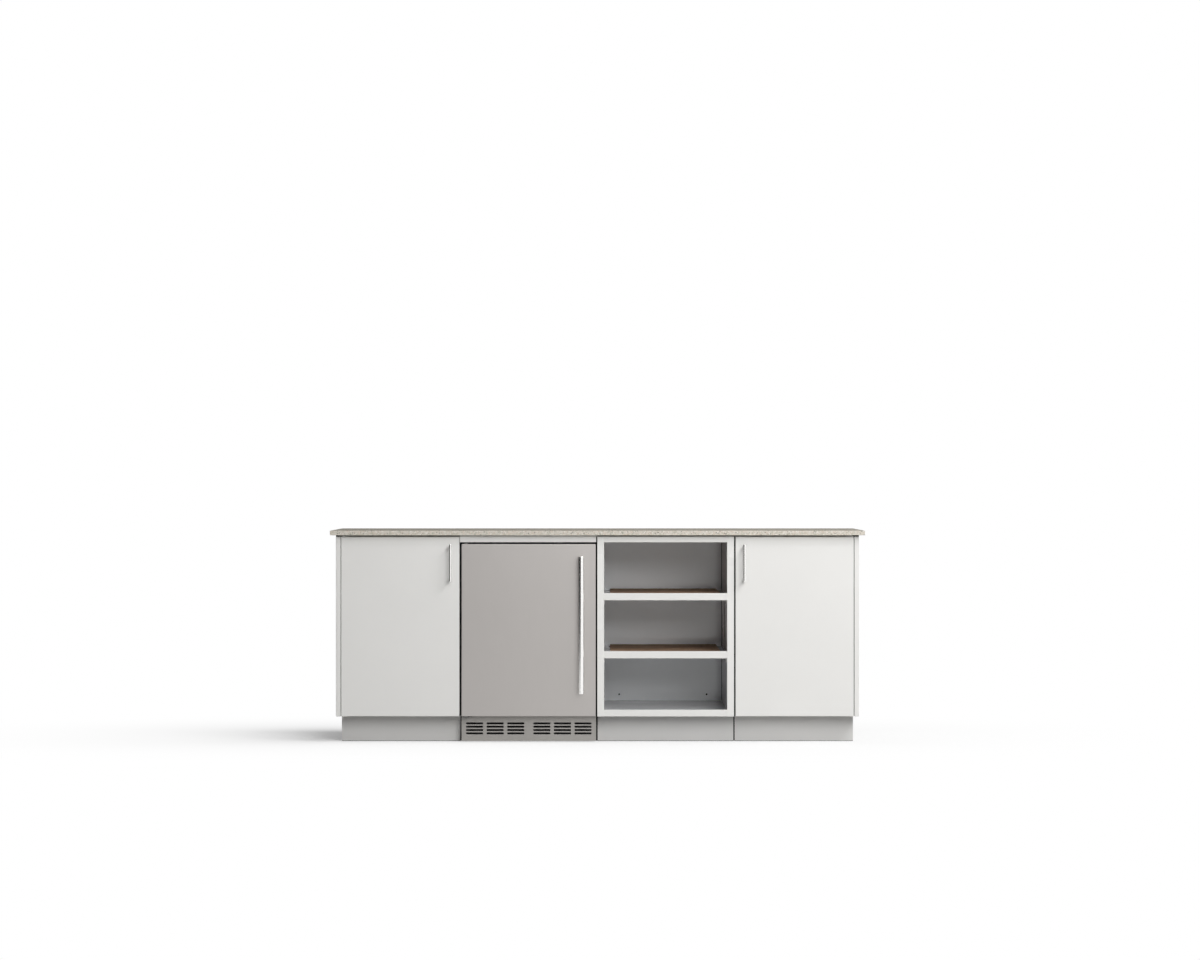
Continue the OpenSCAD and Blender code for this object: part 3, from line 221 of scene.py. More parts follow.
class StudioLooks(PropertyGroup):
    """Studio"""

    distance: length("Camera distance", "How far the camera stands from the doors", 13.8)
    height: length("Camera height", "Height of the camera", 1.132)
    side: length("Camera side", "How far the camera stands to the right of the middle", 0.011)
    lens: ratio("Lens", "Focal length in millimetres", 96.0)
    key: ratio("Key lamp", "Power of the lamp at the right, in watts", 200.0)
    key_turn: ratio("Key turn", "Degrees that the key lamp stands to the right of the front", 52.0)
    key_rise: ratio("Key rise", "Degrees that the key lamp stands above the doors' middle", 45.0)
    key_size: length("Key size", "Side of the key lamp", 2.5)
    key_far: length("Key distance", "Distance of the key lamp", 7.0)
    front: ratio("Front lamp", "Power of the very large lamp in front, in watts", 490.0)
    front_turn: ratio("Front turn", "Degrees that the front lamp stands to the right of the front", 20.0)
    front_rise: ratio("Front rise", "Degrees that the front lamp stands above the doors' middle", 25.0)
    front_size: length("Front size", "Side of the front lamp", 5.0)
    front_far: length("Front distance", "Distance of the front lamp", 9.0)
    rear: ratio("Rear lamp", "Power of the very large lamp behind, in watts", 190.0)
    rear_turn: ratio("Rear turn", "Degrees from the front to the rear lamp, round by the right", 212.0)
    rear_rise: ratio("Rear rise", "Degrees that the rear lamp stands above the doors' middle", 14.0)
    rear_size: length("Rear size", "Side of the rear lamp", 4.0)
    rear_far: length("Rear distance", "Distance of the rear lamp", 9.0)
    ambient: ratio("Ambient", "Strength of the even light all round", 0.02)
    floor_tone: ratio("Floor tone", "How much light the floor sends back", 0.5)
    floor_lit: ratio("Floor lit", "How much of the light on it the floor shows", 0.85)
    floor_glow: ratio("Floor white", "Share of the floor's white that shadows can't darken", 0.22)
    floor_fade: length("Shadow span", "Distance from the core at which the floor is plain white", 2.0)
    core_right: length("Core right", "How far the shadow's core stays in from the plinth's right end", 0.5)
    core_in: length("Core inset", "How far the shadow's core stays in from the plinth's front and rear", 0.09)
    core_flat: ratio("Core flatness", "How much faster the shadow fades to front and rear than sideways", 1.8)
    flag: ratio("Flags", "Brightness of the dark cards that only gloss shows", 0.01)


GROUPS = {
    "kitchen_worktop": WorktopLooks,
    "kitchen_paint": PaintLooks,
    "kitchen_handles": HandleLooks,
    "kitchen_grille": GrilleLooks,
    "kitchen_fridge": FridgeLooks,
    "kitchen_seals": SealLooks,
    "kitchen_shelves": ShelfLooks,
    "kitchen_studio": StudioLooks,
}


# Surfaces worked out on grids


def span(node):
    """Lowest and highest corner of a node, as arrays."""
    low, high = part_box(node)
    return np.array(low), np.array(high)


def quads(rows, columns, joined=False):
    """Faces between rings of points: (i, j) with its neighbours, the last ring with the first if joined."""
    i, j = np.meshgrid(np.arange(rows if joined else rows - 1), np.arange(columns), indexing="ij")
    down, right = (i + 1) % rows, (j + 1) % columns
    corners = [i * columns + j, i * columns + right, down * columns + right, down * columns + j]
    return np.stack(corners, -1).reshape(-1, 4)


def circle(n):
    """That many angles, evenly round from 0."""
    return np.arange(n) * 2 * math.pi / n


def edge_steps(r, n=4):
    """Quarter circle as pairs of inset r(1 - sin t) and depth r(1 - cos t)."""
    t = np.linspace(0, math.pi / 2, n + 1)
    return np.stack([r * (1 - np.sin(t)), r * (1 - np.cos(t))], 1)


def mirrored(steps, size):
    """Steps of a slab's first face turned into those of its last one: depth d becomes size - d."""
    return steps[::-1] * [1, -1] + [0, size]


def both_edges(size, r, n=4):
    """Steps of a slab of that thickness whose two faces end in quarter circles of radius r."""
    first = edge_steps(r, n)
    return np.concatenate([first, mirrored(first, size)])


def outline(low, high, r, n=4):
    """Rounded rectangle: at each corner a quarter circle of radius r about the corner drawn in by r."""
    t = np.linspace(0, math.pi / 2, n + 1)
    r = max(r, TINY)
    corners = [
        (low[0] + r, low[1] + r, math.pi),
        (high[0] - r, low[1] + r, 1.5 * math.pi),
        (high[0] - r, high[1] - r, 0.0),
        (low[0] + r, high[1] - r, 0.5 * math.pi),
    ]
    arcs = [np.stack([u + r * np.cos(t + a), v + r * np.sin(t + a)], 1) for u, v, a in corners]
    return np.concatenate(arcs)


def slab(low, high, axis, steps, r, n=4):
    """Rounded rectangles along an axis: step k is drawn in by steps[k][0] and lies steps[k][1] deep."""
    u, v = ACROSS[axis]
    points = np.empty((len(steps), 4 * (n + 1), 3))
    for k, (inset, depth) in enumerate(steps):
        ring = outline((low[u] + inset, low[v] + inset), (high[u] - inset, high[v] - inset), r - inset, n)
        points[k, :, u], points[k, :, v] = ring.T
        points[k, :, axis] = low[axis] + depth
    return points


def ringed(centre, axis, radius, height):
    """Rings round an axis: (k, j) is centre + height[k, j] along it + radius[k, j] (cos a, sin a) across.

    The angle a goes evenly round in j; a row or column of one value counts for all."""
    radius, height = np.broadcast_arrays(radius, height)
    u, v = ACROSS[axis]
    a = circle(radius.shape[1])
    points = np.empty((*radius.shape, 3))
    points[:, :, u] = centre[u] + radius * np.cos(a)
    points[:, :, v] = centre[v] + radius * np.sin(a)
    points[:, :, axis] = centre[axis] + height
    return points


def turned(centre, axis, profile, n=48):
    """Solid of revolution through the profile's pairs of radius and height."""
    profile = np.asarray(profile, float)
    return ringed(centre, axis, np.tile(profile[:, :1], n), profile[:, 1:])


def bar_profile(r, size, e):
    """Radius and place along a bar of that length, whose ends are quarter circles of radius e."""
    return np.concatenate([[[0, 0]], both_edges(size, e) * [-1, 1] + [r, 0], [[0, size]]])


def tube(path, r, n, joined=False):
    """Tube: round each point p of the path, p + r (cos a s + sin a t), where s lies level across the path and
    t stands on both."""
    path = np.asarray(path, float)
    if joined:
        tangent = np.roll(path, -1, 0) - np.roll(path, 1, 0)
    else:
        tangent = np.gradient(path, axis=0)
    tangent /= np.linalg.norm(tangent, axis=1)[:, None]
    side = np.cross(tangent, (0.0, 0.0, 1.0))
    side /= np.linalg.norm(side, axis=1)[:, None]
    top = np.cross(side, tangent)
    a = circle(n)[None, :, None]
    return path[:, None] + r * (np.cos(a) * side[:, None] + np.sin(a) * top[:, None])


class Shell:
    """Points and faces of one piece, gathered part by part."""

    def __init__(self):
        self.points, self.faces, self.marks, self.size = [], [], [], 0

    def add(self, points, faces, mark=0):
        """Adds points with faces that count from their first one; mark counts in the piece's finishes."""
        points = np.asarray(points, float).reshape(-1, 3)
        self.points.append(points)
        self.faces += [[int(corner) + self.size for corner in face] for face in faces]
        self.marks += [mark] * len(faces)
        self.size += len(points)

    def grid(self, points, joined=False, caps=True, mark=0):
        """Adds the surface through rings of points; the ends are joined, or closed by caps, or left."""
        rows, columns = points.shape[:2]
        faces = quads(rows, columns, joined).tolist()
        if caps and not joined:
            faces += [list(range(columns))[::-1], list(range((rows - 1) * columns, rows * columns))]
        self.add(points, faces, mark)

    def piece(self, name, body, slot, replaced=(), finishes=(), sharp=40.0):
        """Makes the object: doubles merged, faces turned outwards, soft shading with sharp edges kept.

        Finishes are named by slot; without any, the piece has that of its own slot."""
        mesh = bpy.data.meshes.new(name)
        mesh.from_pydata(np.concatenate(self.points).tolist(), [], self.faces)
        mesh.polygons.foreach_set("material_index", self.marks)
        work = bmesh.new()
        work.from_mesh(mesh)
        bmesh.ops.remove_doubles(work, verts=work.verts, dist=MERGE)
        bmesh.ops.dissolve_degenerate(work, edges=work.edges, dist=MERGE)
        bmesh.ops.recalc_face_normals(work, faces=work.faces)
        work.to_mesh(mesh)
        work.free()
        for finish in finishes or [slot]:
            mesh.materials.append(FINISHES[finish])
        mesh.shade_smooth()
        mesh.set_sharp_from_angle(angle=math.radians(sharp))
        piece = bpy.data.objects.new(name, mesh)
        bpy.context.scene.collection.objects.link(piece)
        even = piece.modifiers.new("Even shading", "WEIGHTED_NORMAL")
        even.keep_sharp = True
        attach(piece, body)
        if replaced:
            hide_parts(*replaced)
        return piece


# Finishes


class Web:
    """Node tree of a material or world, with short ways to add and join nodes."""

    def __init__(self, owner, empty=False):
        owner.use_nodes = True
        self.tree = owner.node_tree
        if empty:
            self.tree.nodes.clear()

    def node(self, kind, **values):
        """Adds a node and sets its properties, or its sockets where no property has that name."""
        made = self.tree.nodes.new(kind)
        for key, value in values.items():
            if hasattr(made, key):
                setattr(made, key, value)
            else:
                made.inputs[key.replace("_", " ")].default_value = value
        return made

    def link(self, start, end):
        """Joins an output to an input."""
        self.tree.links.new(start, end)

    def fed(self, kind, *starts, **values):
        """Adds a node and joins those outputs to its first inputs."""
        made = self.node(kind, **values)
        for start, end in zip(starts, made.inputs):
            self.link(start, end)
        return made


class Finish(Web):
    """One material of the object: its shader, and the nodes that vary it."""

    def __init__(self, name, base, rough, metal=0.0, **more):
        self.material = bpy.data.materials.new(name)
        super().__init__(self.material)
        self.shader = self.tree.nodes["Principled BSDF"]
        self.material.diffuse_color = (*base[:3], 1.0)
        self.set("Base Color", (*base[:3], 1.0))
        self.set("Roughness", rough)
        self.set("Metallic", metal)
        for socket, value in more.items():
            self.set(socket.replace("_", " "), value)
        self.place = self.node("ShaderNodeTexCoord").outputs["Object"]

    def set(self, socket, value):
        """Sets one of the shader's own sockets."""
        self.shader.inputs[socket].default_value = value

    def along(self, axis):
        """One of the object coordinates, by its letter."""
        return self.fed("ShaderNodeSeparateXYZ", self.place).outputs[axis]

    def noise(self, scale, detail=3.0, rough=0.5, stretch=(1, 1, 1), warp=0.0):
        """Cloudy pattern with that many waves to the metre, drawn out where an axis' stretch is small."""
        place = self.fed("ShaderNodeMapping", self.place, Scale=stretch).outputs["Vector"]
        values = {"Scale": scale, "Detail": detail, "Roughness": rough, "Distortion": warp}
        return self.fed("ShaderNodeTexNoise", place, **values).outputs["Fac"]

    def cells(self, scale):
        """Crystal pattern: each cell has one random value."""
        made = self.fed("ShaderNodeTexVoronoi", self.place, Scale=scale, Randomness=1.0)
        return self.fed("ShaderNodeSeparateColor", made.outputs["Color"]).outputs["Red"]

    def ramp(self, value, stops, smooth=True):
        """Colour from a value, through stops of place and colour."""
        made = self.fed("ShaderNodeValToRGB", value)
        made.color_ramp.interpolation = "LINEAR" if smooth else "CONSTANT"
        elements = made.color_ramp.elements
        while len(elements) < len(stops):
            elements.new(0.5)
        for element, (place, shade) in zip(elements, stops):
            element.position = place
            element.color = (*shade[:3], 1.0)
        return made.outputs["Color"]

    def spread(self, value, low, high, start=0.3, end=0.7):
        """Value moved from the span start to end into the span low to high."""
        made = self.fed("ShaderNodeMapRange", value, From_Min=start, From_Max=end, To_Min=low, To_Max=high)
        return made.outputs["Result"]

    def blend(self, factor, first, second, kind="MIX"):
        """Mix of two colours; each is an output or a plain colour, and so is the factor."""
        made = self.node("ShaderNodeMix", data_type="RGBA", blend_type=kind)
        for socket, value in ((made.inputs[0], factor), (made.inputs[6], first), (made.inputs[7], second)):
            if isinstance(value, bpy.types.NodeSocket):
                self.link(value, socket)
            elif isinstance(value, float):
                socket.default_value = value
            else:
                socket.default_value = (*value[:3], 1.0)
        return made.outputs[2]

    def sum(self, first, second, share):
        """first + share times second."""
        made = self.fed("ShaderNodeMath", second, operation="MULTIPLY_ADD")
        made.inputs[1].default_value = share
        self.link(first, made.inputs[2])
        return made.outputs["Value"]

    def bump(self, height, depth):
        """Relief of that depth in metres."""
        made = self.node("ShaderNodeBump", Strength=1.0, Distance=depth)
        self.link(height, made.inputs["Height"])
        return made.outputs["Normal"]

    def wear(self, shade, rough, normal):
        """Joins the varied colour, roughness and relief to the shader."""
        for socket, value in (("Base Color", shade), ("Roughness", rough), ("Normal", normal)):
            self.link(value, self.shader.inputs[socket])
        return self.material


def scaled(shade, factor):
    """A colour with each part multiplied, up to full."""
    return tuple(min(1.0, part * factor) for part in shade[:3])


def powder_coat(name, base, rough, depth, gloss=0.5, inside=None, edge=0.0):
    """Painted sheet: fine orange peel, a faint cloud in tone and gloss.

    With a tone for the inside, all behind the plane y = edge has that tone: painted shade in a recess."""
    made = Finish(name, base, rough, Specular_IOR_Level=gloss)
    cloud = made.noise(3.0, 4.0)
    peel = made.sum(made.noise(420.0, 2.0), made.noise(1300.0, 1.0), 0.35)
    shade = made.ramp(cloud, [(0.3, scaled(base, 0.985)), (0.7, scaled(base, 1.01))])
    if inside:
        behind = made.spread(made.along("Y"), 0.0, 1.0, edge, edge + 0.001)
        shade = made.blend(behind, shade, inside)
    return made.wear(shade, made.spread(cloud, rough - 0.03, rough + 0.04), made.bump(peel, depth))


def brushed(name, base, rough, grain, spread=0.06, metal=1.0):
    """Metal with fine lines: noise drawn out along the axis in which grain is small."""
    made = Finish(name, base, rough, metal, Anisotropic=0.4)
    lines = made.noise(900.0, 3.0, 0.6, grain)
    broad = made.noise(5.0, 3.0)
    both = made.sum(made.spread(lines, 0.0, 0.7), broad, 0.3)
    tint = made.ramp(both, [(0.1, scaled(base, 0.985)), (0.9, scaled(base, 1.015))])
    return made.wear(tint, made.spread(lines, rough - spread, rough + spread), made.bump(lines, 0.00001))


def plastic(name, base, rough, depth=0.00002, scale=900.0, **more):
    """Moulded plastic or rubber with a fine spark-eroded grain."""
    made = Finish(name, base, rough, **more)
    grain = made.noise(scale, 2.0)
    cloud = made.noise(12.0, 3.0)
    shade = made.ramp(cloud, [(0.3, scaled(base, 0.96)), (0.7, scaled(base, 1.03))])
    return made.wear(shade, made.spread(grain, rough - 0.04, rough + 0.06), made.bump(grain, depth))


def granite(name, looks):
    """Speckled stone: two sizes of crystals in five tones, sparse dark specks, a satin face, and painted
    shade that draws the top face darker than the edges."""
    made = Finish(name, looks.ground, 0.56, Specular_IOR_Level=0.4)
    large, small, specks = made.cells(190.0), made.cells(420.0), made.cells(260.0)
    stops = [
        (0.0, looks.green[:]),
        (0.16, looks.warm[:]),
        (0.34, scaled(looks.ground, 0.93)),
        (0.52, looks.ground[:]),
        (0.76, scaled(looks.ground, 1.08)),
        (0.9, looks.pale[:]),
    ]
    shade = made.blend(0.45, made.ramp(large, stops, smooth=False), made.ramp(small, stops, smooth=False))
    cloud = made.noise(60.0, 5.0, 0.6)
    shade = made.blend(made.spread(cloud, 0.0, 0.35, 0.45, 0.7), shade, looks.ground[:])
    shade = made.blend(made.spread(specks, 0.0, 0.75, 0.955, 0.965), shade, looks.dark[:])
    # Painted shade: the top face's colour is multiplied by the top share.
    top = span("countertop")[1][Z]
    painted_top_shade = made.spread(made.along("Z"), 0.0, 1.0, top - 0.001, top - 0.0002)
    shade = made.blend(painted_top_shade, shade, (looks.top,) * 3, "MULTIPLY")
    return made.wear(shade, made.spread(small, 0.5, 0.62), made.bump(made.noise(500.0, 3.0), 0.00003))


def timber(name, looks):
    """Oiled wood: long wavy grain along X, fine pores, uneven tone from plank to plank."""
    made = Finish(name, looks.brown, 0.7, Specular_IOR_Level=0.3)
    grain = made.noise(60.0, 6.0, 0.62, (0.06, 1.0, 1.0), 0.6)
    pores = made.noise(900.0, 2.0, 0.5, (0.05, 1.0, 1.0))
    figure = made.noise(9.0, 4.0, 0.5, (0.25, 1.0, 1.0), 0.4)
    stops = [(0.25, looks.dark[:]), (0.48, looks.brown[:]), (0.75, looks.pale[:])]
    shade = made.ramp(made.sum(made.sum(made.spread(grain, 0.1, 0.7), figure, 0.35), pores, -0.12), stops)
    return made.wear(shade, made.spread(pores, 0.62, 0.8), made.bump(made.sum(grain, pores, 0.5), 0.00012))


def make_finishes(scene):
    """Every material of the object, by the name of its slot."""
    paint, fridge = scene.kitchen_paint, scene.kitchen_fridge
    # bay is the darker tone painted as shade inside the open bay, behind the plane edge, bay_edge behind the
    # walls' front.
    metal, white, bay = scene.kitchen_handles.metal[:], paint.white[:], paint.bay[:]
    edge = span("open_walls")[0][Y] + paint.bay_edge
    peel = paint.orange_peel
    along_x, along_z = (0.012, 1.0, 1.0), (1.0, 1.0, 0.012)
    FINISHES.update(
        stone_top=granite("Speckled stone", scene.kitchen_worktop),
        backing_board=powder_coat("Backing board", tone(204, 202, 198), 0.6, peel * 2),
        white_paint=powder_coat("White powder coat", white, 0.18, peel),
        # Painted shade: these two coats are darker behind the open bay's front edges.
        bay_paint=powder_coat("Open bay powder coat", white, 0.16, peel, inside=bay, edge=edge),
        wall_paint=powder_coat("Bay wall powder coat", white, 0.28, peel, inside=bay, edge=edge),
        # Painted light: the back panel's coat is paler than the cabinet white.
        back_paint=powder_coat("Back panel powder coat", paint.back[:], 0.1, peel / 5, 1.0),
        plinth_paint=powder_coat("Plinth powder coat", paint.plinth[:], 0.4, peel),
        board_wood=timber("Oiled wood", scene.kitchen_shelves),
        fridge_steel=brushed("Brushed door steel", fridge.steel[:], 0.34, along_z),
        grille_steel=brushed("Brushed grille steel", fridge.grille[:], 0.5, along_x, metal=0.5),
        satin_handle=brushed("Satin handle metal", metal, 0.2, along_z, spread=0.03),
        bright_steel=brushed("Zinc plated steel", tone(196, 195, 190), 0.3, (0.3, 0.3, 1.0)),
        cover_steel=brushed("Galvanised cover", tone(170, 172, 173), 0.5, (0.5, 1.0, 0.5)),
        case_paint=powder_coat("Fridge body paint", tone(92, 93, 94), 0.5, peel * 2),
        compressor_paint=powder_coat("Compressor enamel", tone(24, 24, 25), 0.32, peel * 3),
        liner_plastic=plastic("Moulded lining", tone(236, 237, 236), 0.32, 0.00001),
        black_plastic=plastic("Black plastic", tone(30, 30, 31), 0.5),
        bush_plastic=plastic("Bush plastic", tone(224, 222, 214), 0.45),
        dial_plastic=plastic("Dial plastic", tone(206, 207, 206), 0.4),
        switch_plastic=plastic("Switch plastic", tone(38, 38, 40), 0.38),
        seal_rubber=plastic("Seal rubber", tone(58, 58, 60), 0.62, 0.00003, 600.0),
        lamp_glass=plastic(
            "Frosted lens", tone(238, 238, 232), 0.45, 0.00005, 300.0, Transmission_Weight=0.35
        ),
        lettering=plastic("Dial print", tone(40, 40, 42), 0.5),
        # Black foam of the joint strips: seals, and also painted shade in the gaps.
        joint_foam=plastic("Joint foam", scene.kitchen_seals.foam[:], 0.9, 0.0001, 500.0),
    )


# Pieces


class PieceOperator:
    """What the operators below share."""

    bl_options = {"REGISTER", "UNDO"}


class KITCHEN_OT_finishes(PieceOperator, Operator):
    """Makes every material, and gives each packed node that of its record or of its place in the photo"""

    bl_idname = "kitchen.finishes"
    bl_label = "Finishes"

    def execute(self, context):
        make_finishes(context.scene)
        slots = {item["node"]: item["material_slot"] for item in frame["record"]["subparts"]}
        # The open bay's walls, floor, rails and shelves take coats with painted shade behind their front
        # edges; its back takes a coat with painted light.
        slots.update(toe_grille="grille_steel", open_walls="wall_paint", open_back="back_paint")
        slots.update(dict.fromkeys(("open_floor", "open_rails", "upper_shelf", "lower_shelf"), "bay_paint"))
        for name, node in NODES.items():
            node.data.materials.clear()
            node.data.materials.append(FINISHES[slots[name]])
        return {"FINISHED"}


class KITCHEN_OT_worktop(PieceOperator, Operator):
    """Stone slab with eased edges"""

    bl_idname = "kitchen.worktop"
    bl_label = "Worktop"

    def execute(self, context):
        low, high = span("countertop")
        r = context.scene.kitchen_worktop.edge
        shell = Shell()
        shell.grid(slab(low, high, Z, both_edges(high[Z] - low[Z], r, 5), r, 5))
        shell.piece("stone_slab", "root", "stone_top", ["countertop"])
        return {"FINISHED"}


def painted_panel(node, name, body, axis, looks, seam_high):
    """Panel with rounded edges; its hidden face has a seam round a shallow pan.

    That face, the high one along the axis or else the low one, is drawn in by groove_in, goes down by half
    the seam's width, comes up again and stays flush."""
    low, high = span(node)
    size, r = high[axis] - low[axis], looks.door_edge
    steps = both_edges(size, r)
    a, w = looks.groove_in, looks.groove
    seam = np.array([[a + w, 0], [a + 0.8 * w, w / 2], [a + 0.2 * w, w / 2], [a, 0]])
    if seam_high:
        steps = np.concatenate([steps, mirrored(seam, size)])
    else:
        steps = np.concatenate([seam, steps])
    shell = Shell()
    shell.grid(slab(low, high, axis, steps, r))
    shell.piece(name, body, "white_paint", [node])


class KITCHEN_OT_panels(PieceOperator, Operator):
    """Two cabinet doors and two end panels, powder coated"""

    bl_idname = "kitchen.panels"
    bl_label = "Doors and end panels"

    def execute(self, context):
        looks = context.scene.kitchen_paint
        for side in SIDES:
            painted_panel(f"{side}_door", f"{side}_door_panel", f"{side}_leaf", Y, looks, True)
        for side in SIDES:
            painted_panel(f"{side}_end_panel", f"{side}_end_board", "root", X, looks, side == "left")
        return {"FINISHED"}


def handle_post(shell, foot, reach, r, flare):
    """Post from the door's face at foot out to -reach; h away from the door its radius is
    r + flare exp(-h / flare)."""
    h = np.concatenate([[0.0, 0.0], np.linspace(0.0004, reach, 18)])
    swell = r + flare * np.exp(-h / max(flare, TINY))
    swell[0] = 0.0
    profile = np.concatenate([np.stack([swell, -h], 1), [[0.0, -reach]]])
    shell.grid(turned(foot, Y, profile, 32), caps=False)


def bar_handle(node, name, body, bar, end, post, heights, flare, n=48):
    """Upright bar with rounded ends on a flared post at each of those heights."""
    low, high = span(node)
    face, r = span("left_door")[0][Y], bar / 2
    x, y = (low[X] + high[X]) / 2, low[Y] + r
    shell = Shell()
    shell.grid(turned((x, y, low[Z]), Z, bar_profile(r, high[Z] - low[Z], end), n), caps=False)
    for z in heights:
        handle_post(shell, (x, face, z), face - y, post / 2, flare)
    return shell.piece(name, body, "satin_handle", [node])


def post_heights(side, looks):
    """Heights of the two posts of a cabinet handle."""
    low, high = span(f"{side}_handle")
    middle = (low[Z] + high[Z]) / 2
    return middle - looks.centres / 2, middle + looks.centres / 2


class KITCHEN_OT_handles(PieceOperator, Operator):
    """Bar handles of the two doors and the fridge, each on two flared posts"""

    bl_idname = "kitchen.handles"
    bl_label = "Handles"

    def execute(self, context):
        looks = context.scene.kitchen_handles
        for side in SIDES:
            names = f"{side}_handle", f"{side}_bar_handle", f"{side}_leaf"
            heights = post_heights(side, looks)
            bar = bar_handle(*names, looks.bar, looks.end_round, looks.post, heights, looks.flare)
            bar.visible_diffuse = False
        low, high = span("fridge_handle")
        heights = low[Z] + looks.fridge_post_in, high[Z] - looks.fridge_post_in
        names = "fridge_handle", "fridge_bar_handle", "fridge_leaf"
        sizes = looks.fridge_bar, looks.fridge_round, looks.fridge_post
        bar_handle(*names, *sizes, heights, looks.flare, 64)
        return {"FINISHED"}


class KITCHEN_OT_shelf_boards(PieceOperator, Operator):
    """Wooden boards in the two open shelves"""

    bl_idname = "kitchen.shelf_boards"
    bl_label = "Shelf boards"

    def execute(self, context):
        r = context.scene.kitchen_shelves.edge
        for place in ("upper", "lower"):
            low, high = span(f"{place}_board")
            shell = Shell()
            shell.grid(slab(low, high, Z, both_edges(high[Z] - low[Z], r), r))
            shell.piece(f"{place}_wood_board", "root", "board_wood", [f"{place}_board"])
        return {"FINISHED"}


def slot_cell(shell, low, high, slot_low, slot_high, face, looks, extra=()):
    """Cell of one slot: four flat faces round it in front and behind, a rounded rim, and walls that climb by
    tan(slope) per depth. The walls behind the rim take the piece's second finish, dark, as painted shade in
    the slot.

    The places in extra are further points along the cell's upper edge."""
    n, rim_rings = 6, 3
    rim, depth = looks.rim, looks.panel
    climb = math.tan(math.radians(looks.slope))
    front = (edge_steps(rim, rim_rings) * [-1, 1]).tolist()
    turns = np.linspace(0.5, math.pi / 2, 3)
    rear = [(rim * math.cos(t) - rim, depth - rim + rim * math.sin(t)) for t in turns]
    rings = []
    for inset, deep in [*front, (0.0, depth - rim), *rear]:
        ring = outline(np.array(slot_low) + inset, np.array(slot_high) - inset, looks.corner - inset, n)
        rings.append(np.insert(ring + [0.0, climb * (deep - depth / 2)], Y, face + deep, axis=1))
    count = 4 * (n + 1)
    walls = quads(len(rings), count)
    shell.add(np.concatenate(rings), walls[: rim_rings * count])
    # Second finish on the walls behind the rim: dark, painted shade deep in the slot.
    shell.add(np.concatenate(rings), walls[rim_rings * count :], mark=1)
    corners = [(low[0], low[1]), (high[0], low[1]), (high[0], high[1]), (low[0], high[1])]
    corners += [(x, high[1]) for x in extra]
    first = len(corners)
    for ring, deep in ((rings[0], 0.0), (rings[-1], depth)):
        box = np.insert(np.array(corners), Y, face + deep, axis=1)
        faces = []
        for s in range(4):
            start, end = s * (n + 1) + n // 2, (s + 1) * (n + 1) + n // 2
            edge = [s, *(range(4, first) if s == 2 else ()), (s + 1) % 4]
            faces.append(edge + [first + k % count for k in range(end, start - 1, -1)])
        shell.add(np.concatenate([box, ring]), faces)


def grid_lines(middles, half, *edges):
    """Where a plate is cut: at its edges and half a cell to either side of each slot's middle."""
    return sorted({*edges} | {round(c + s * half, 6) for c in middles for s in (-1, 1)})


def border(rim, xs, zs, front, back):
    """Wall round a plate with those corners, cut at every line of the plate's grid so that all edges meet."""
    points, faces = [], []
    for (x0, z0), (x1, z1) in zip(rim, rim[1:] + rim[:1]):
        if abs(x1 - x0) > abs(z1 - z0):
            cuts = [(x, z0) for x in sorted({x0, x1} | {x for x in xs if min(x0, x1) < x < max(x0, x1)})]
        else:
            cuts = [(x0, z) for z in sorted({z0, z1} | {z for z in zs if min(z0, z1) < z < max(z0, z1)})]
        for (xa, za), (xb, zb) in zip(cuts, cuts[1:]):
            k = len(points)
            points += [(xa, front, za), (xb, front, zb), (xb, back, zb), (xa, back, za)]
            faces.append([k, k + 1, k + 2, k + 3])
    return points, faces


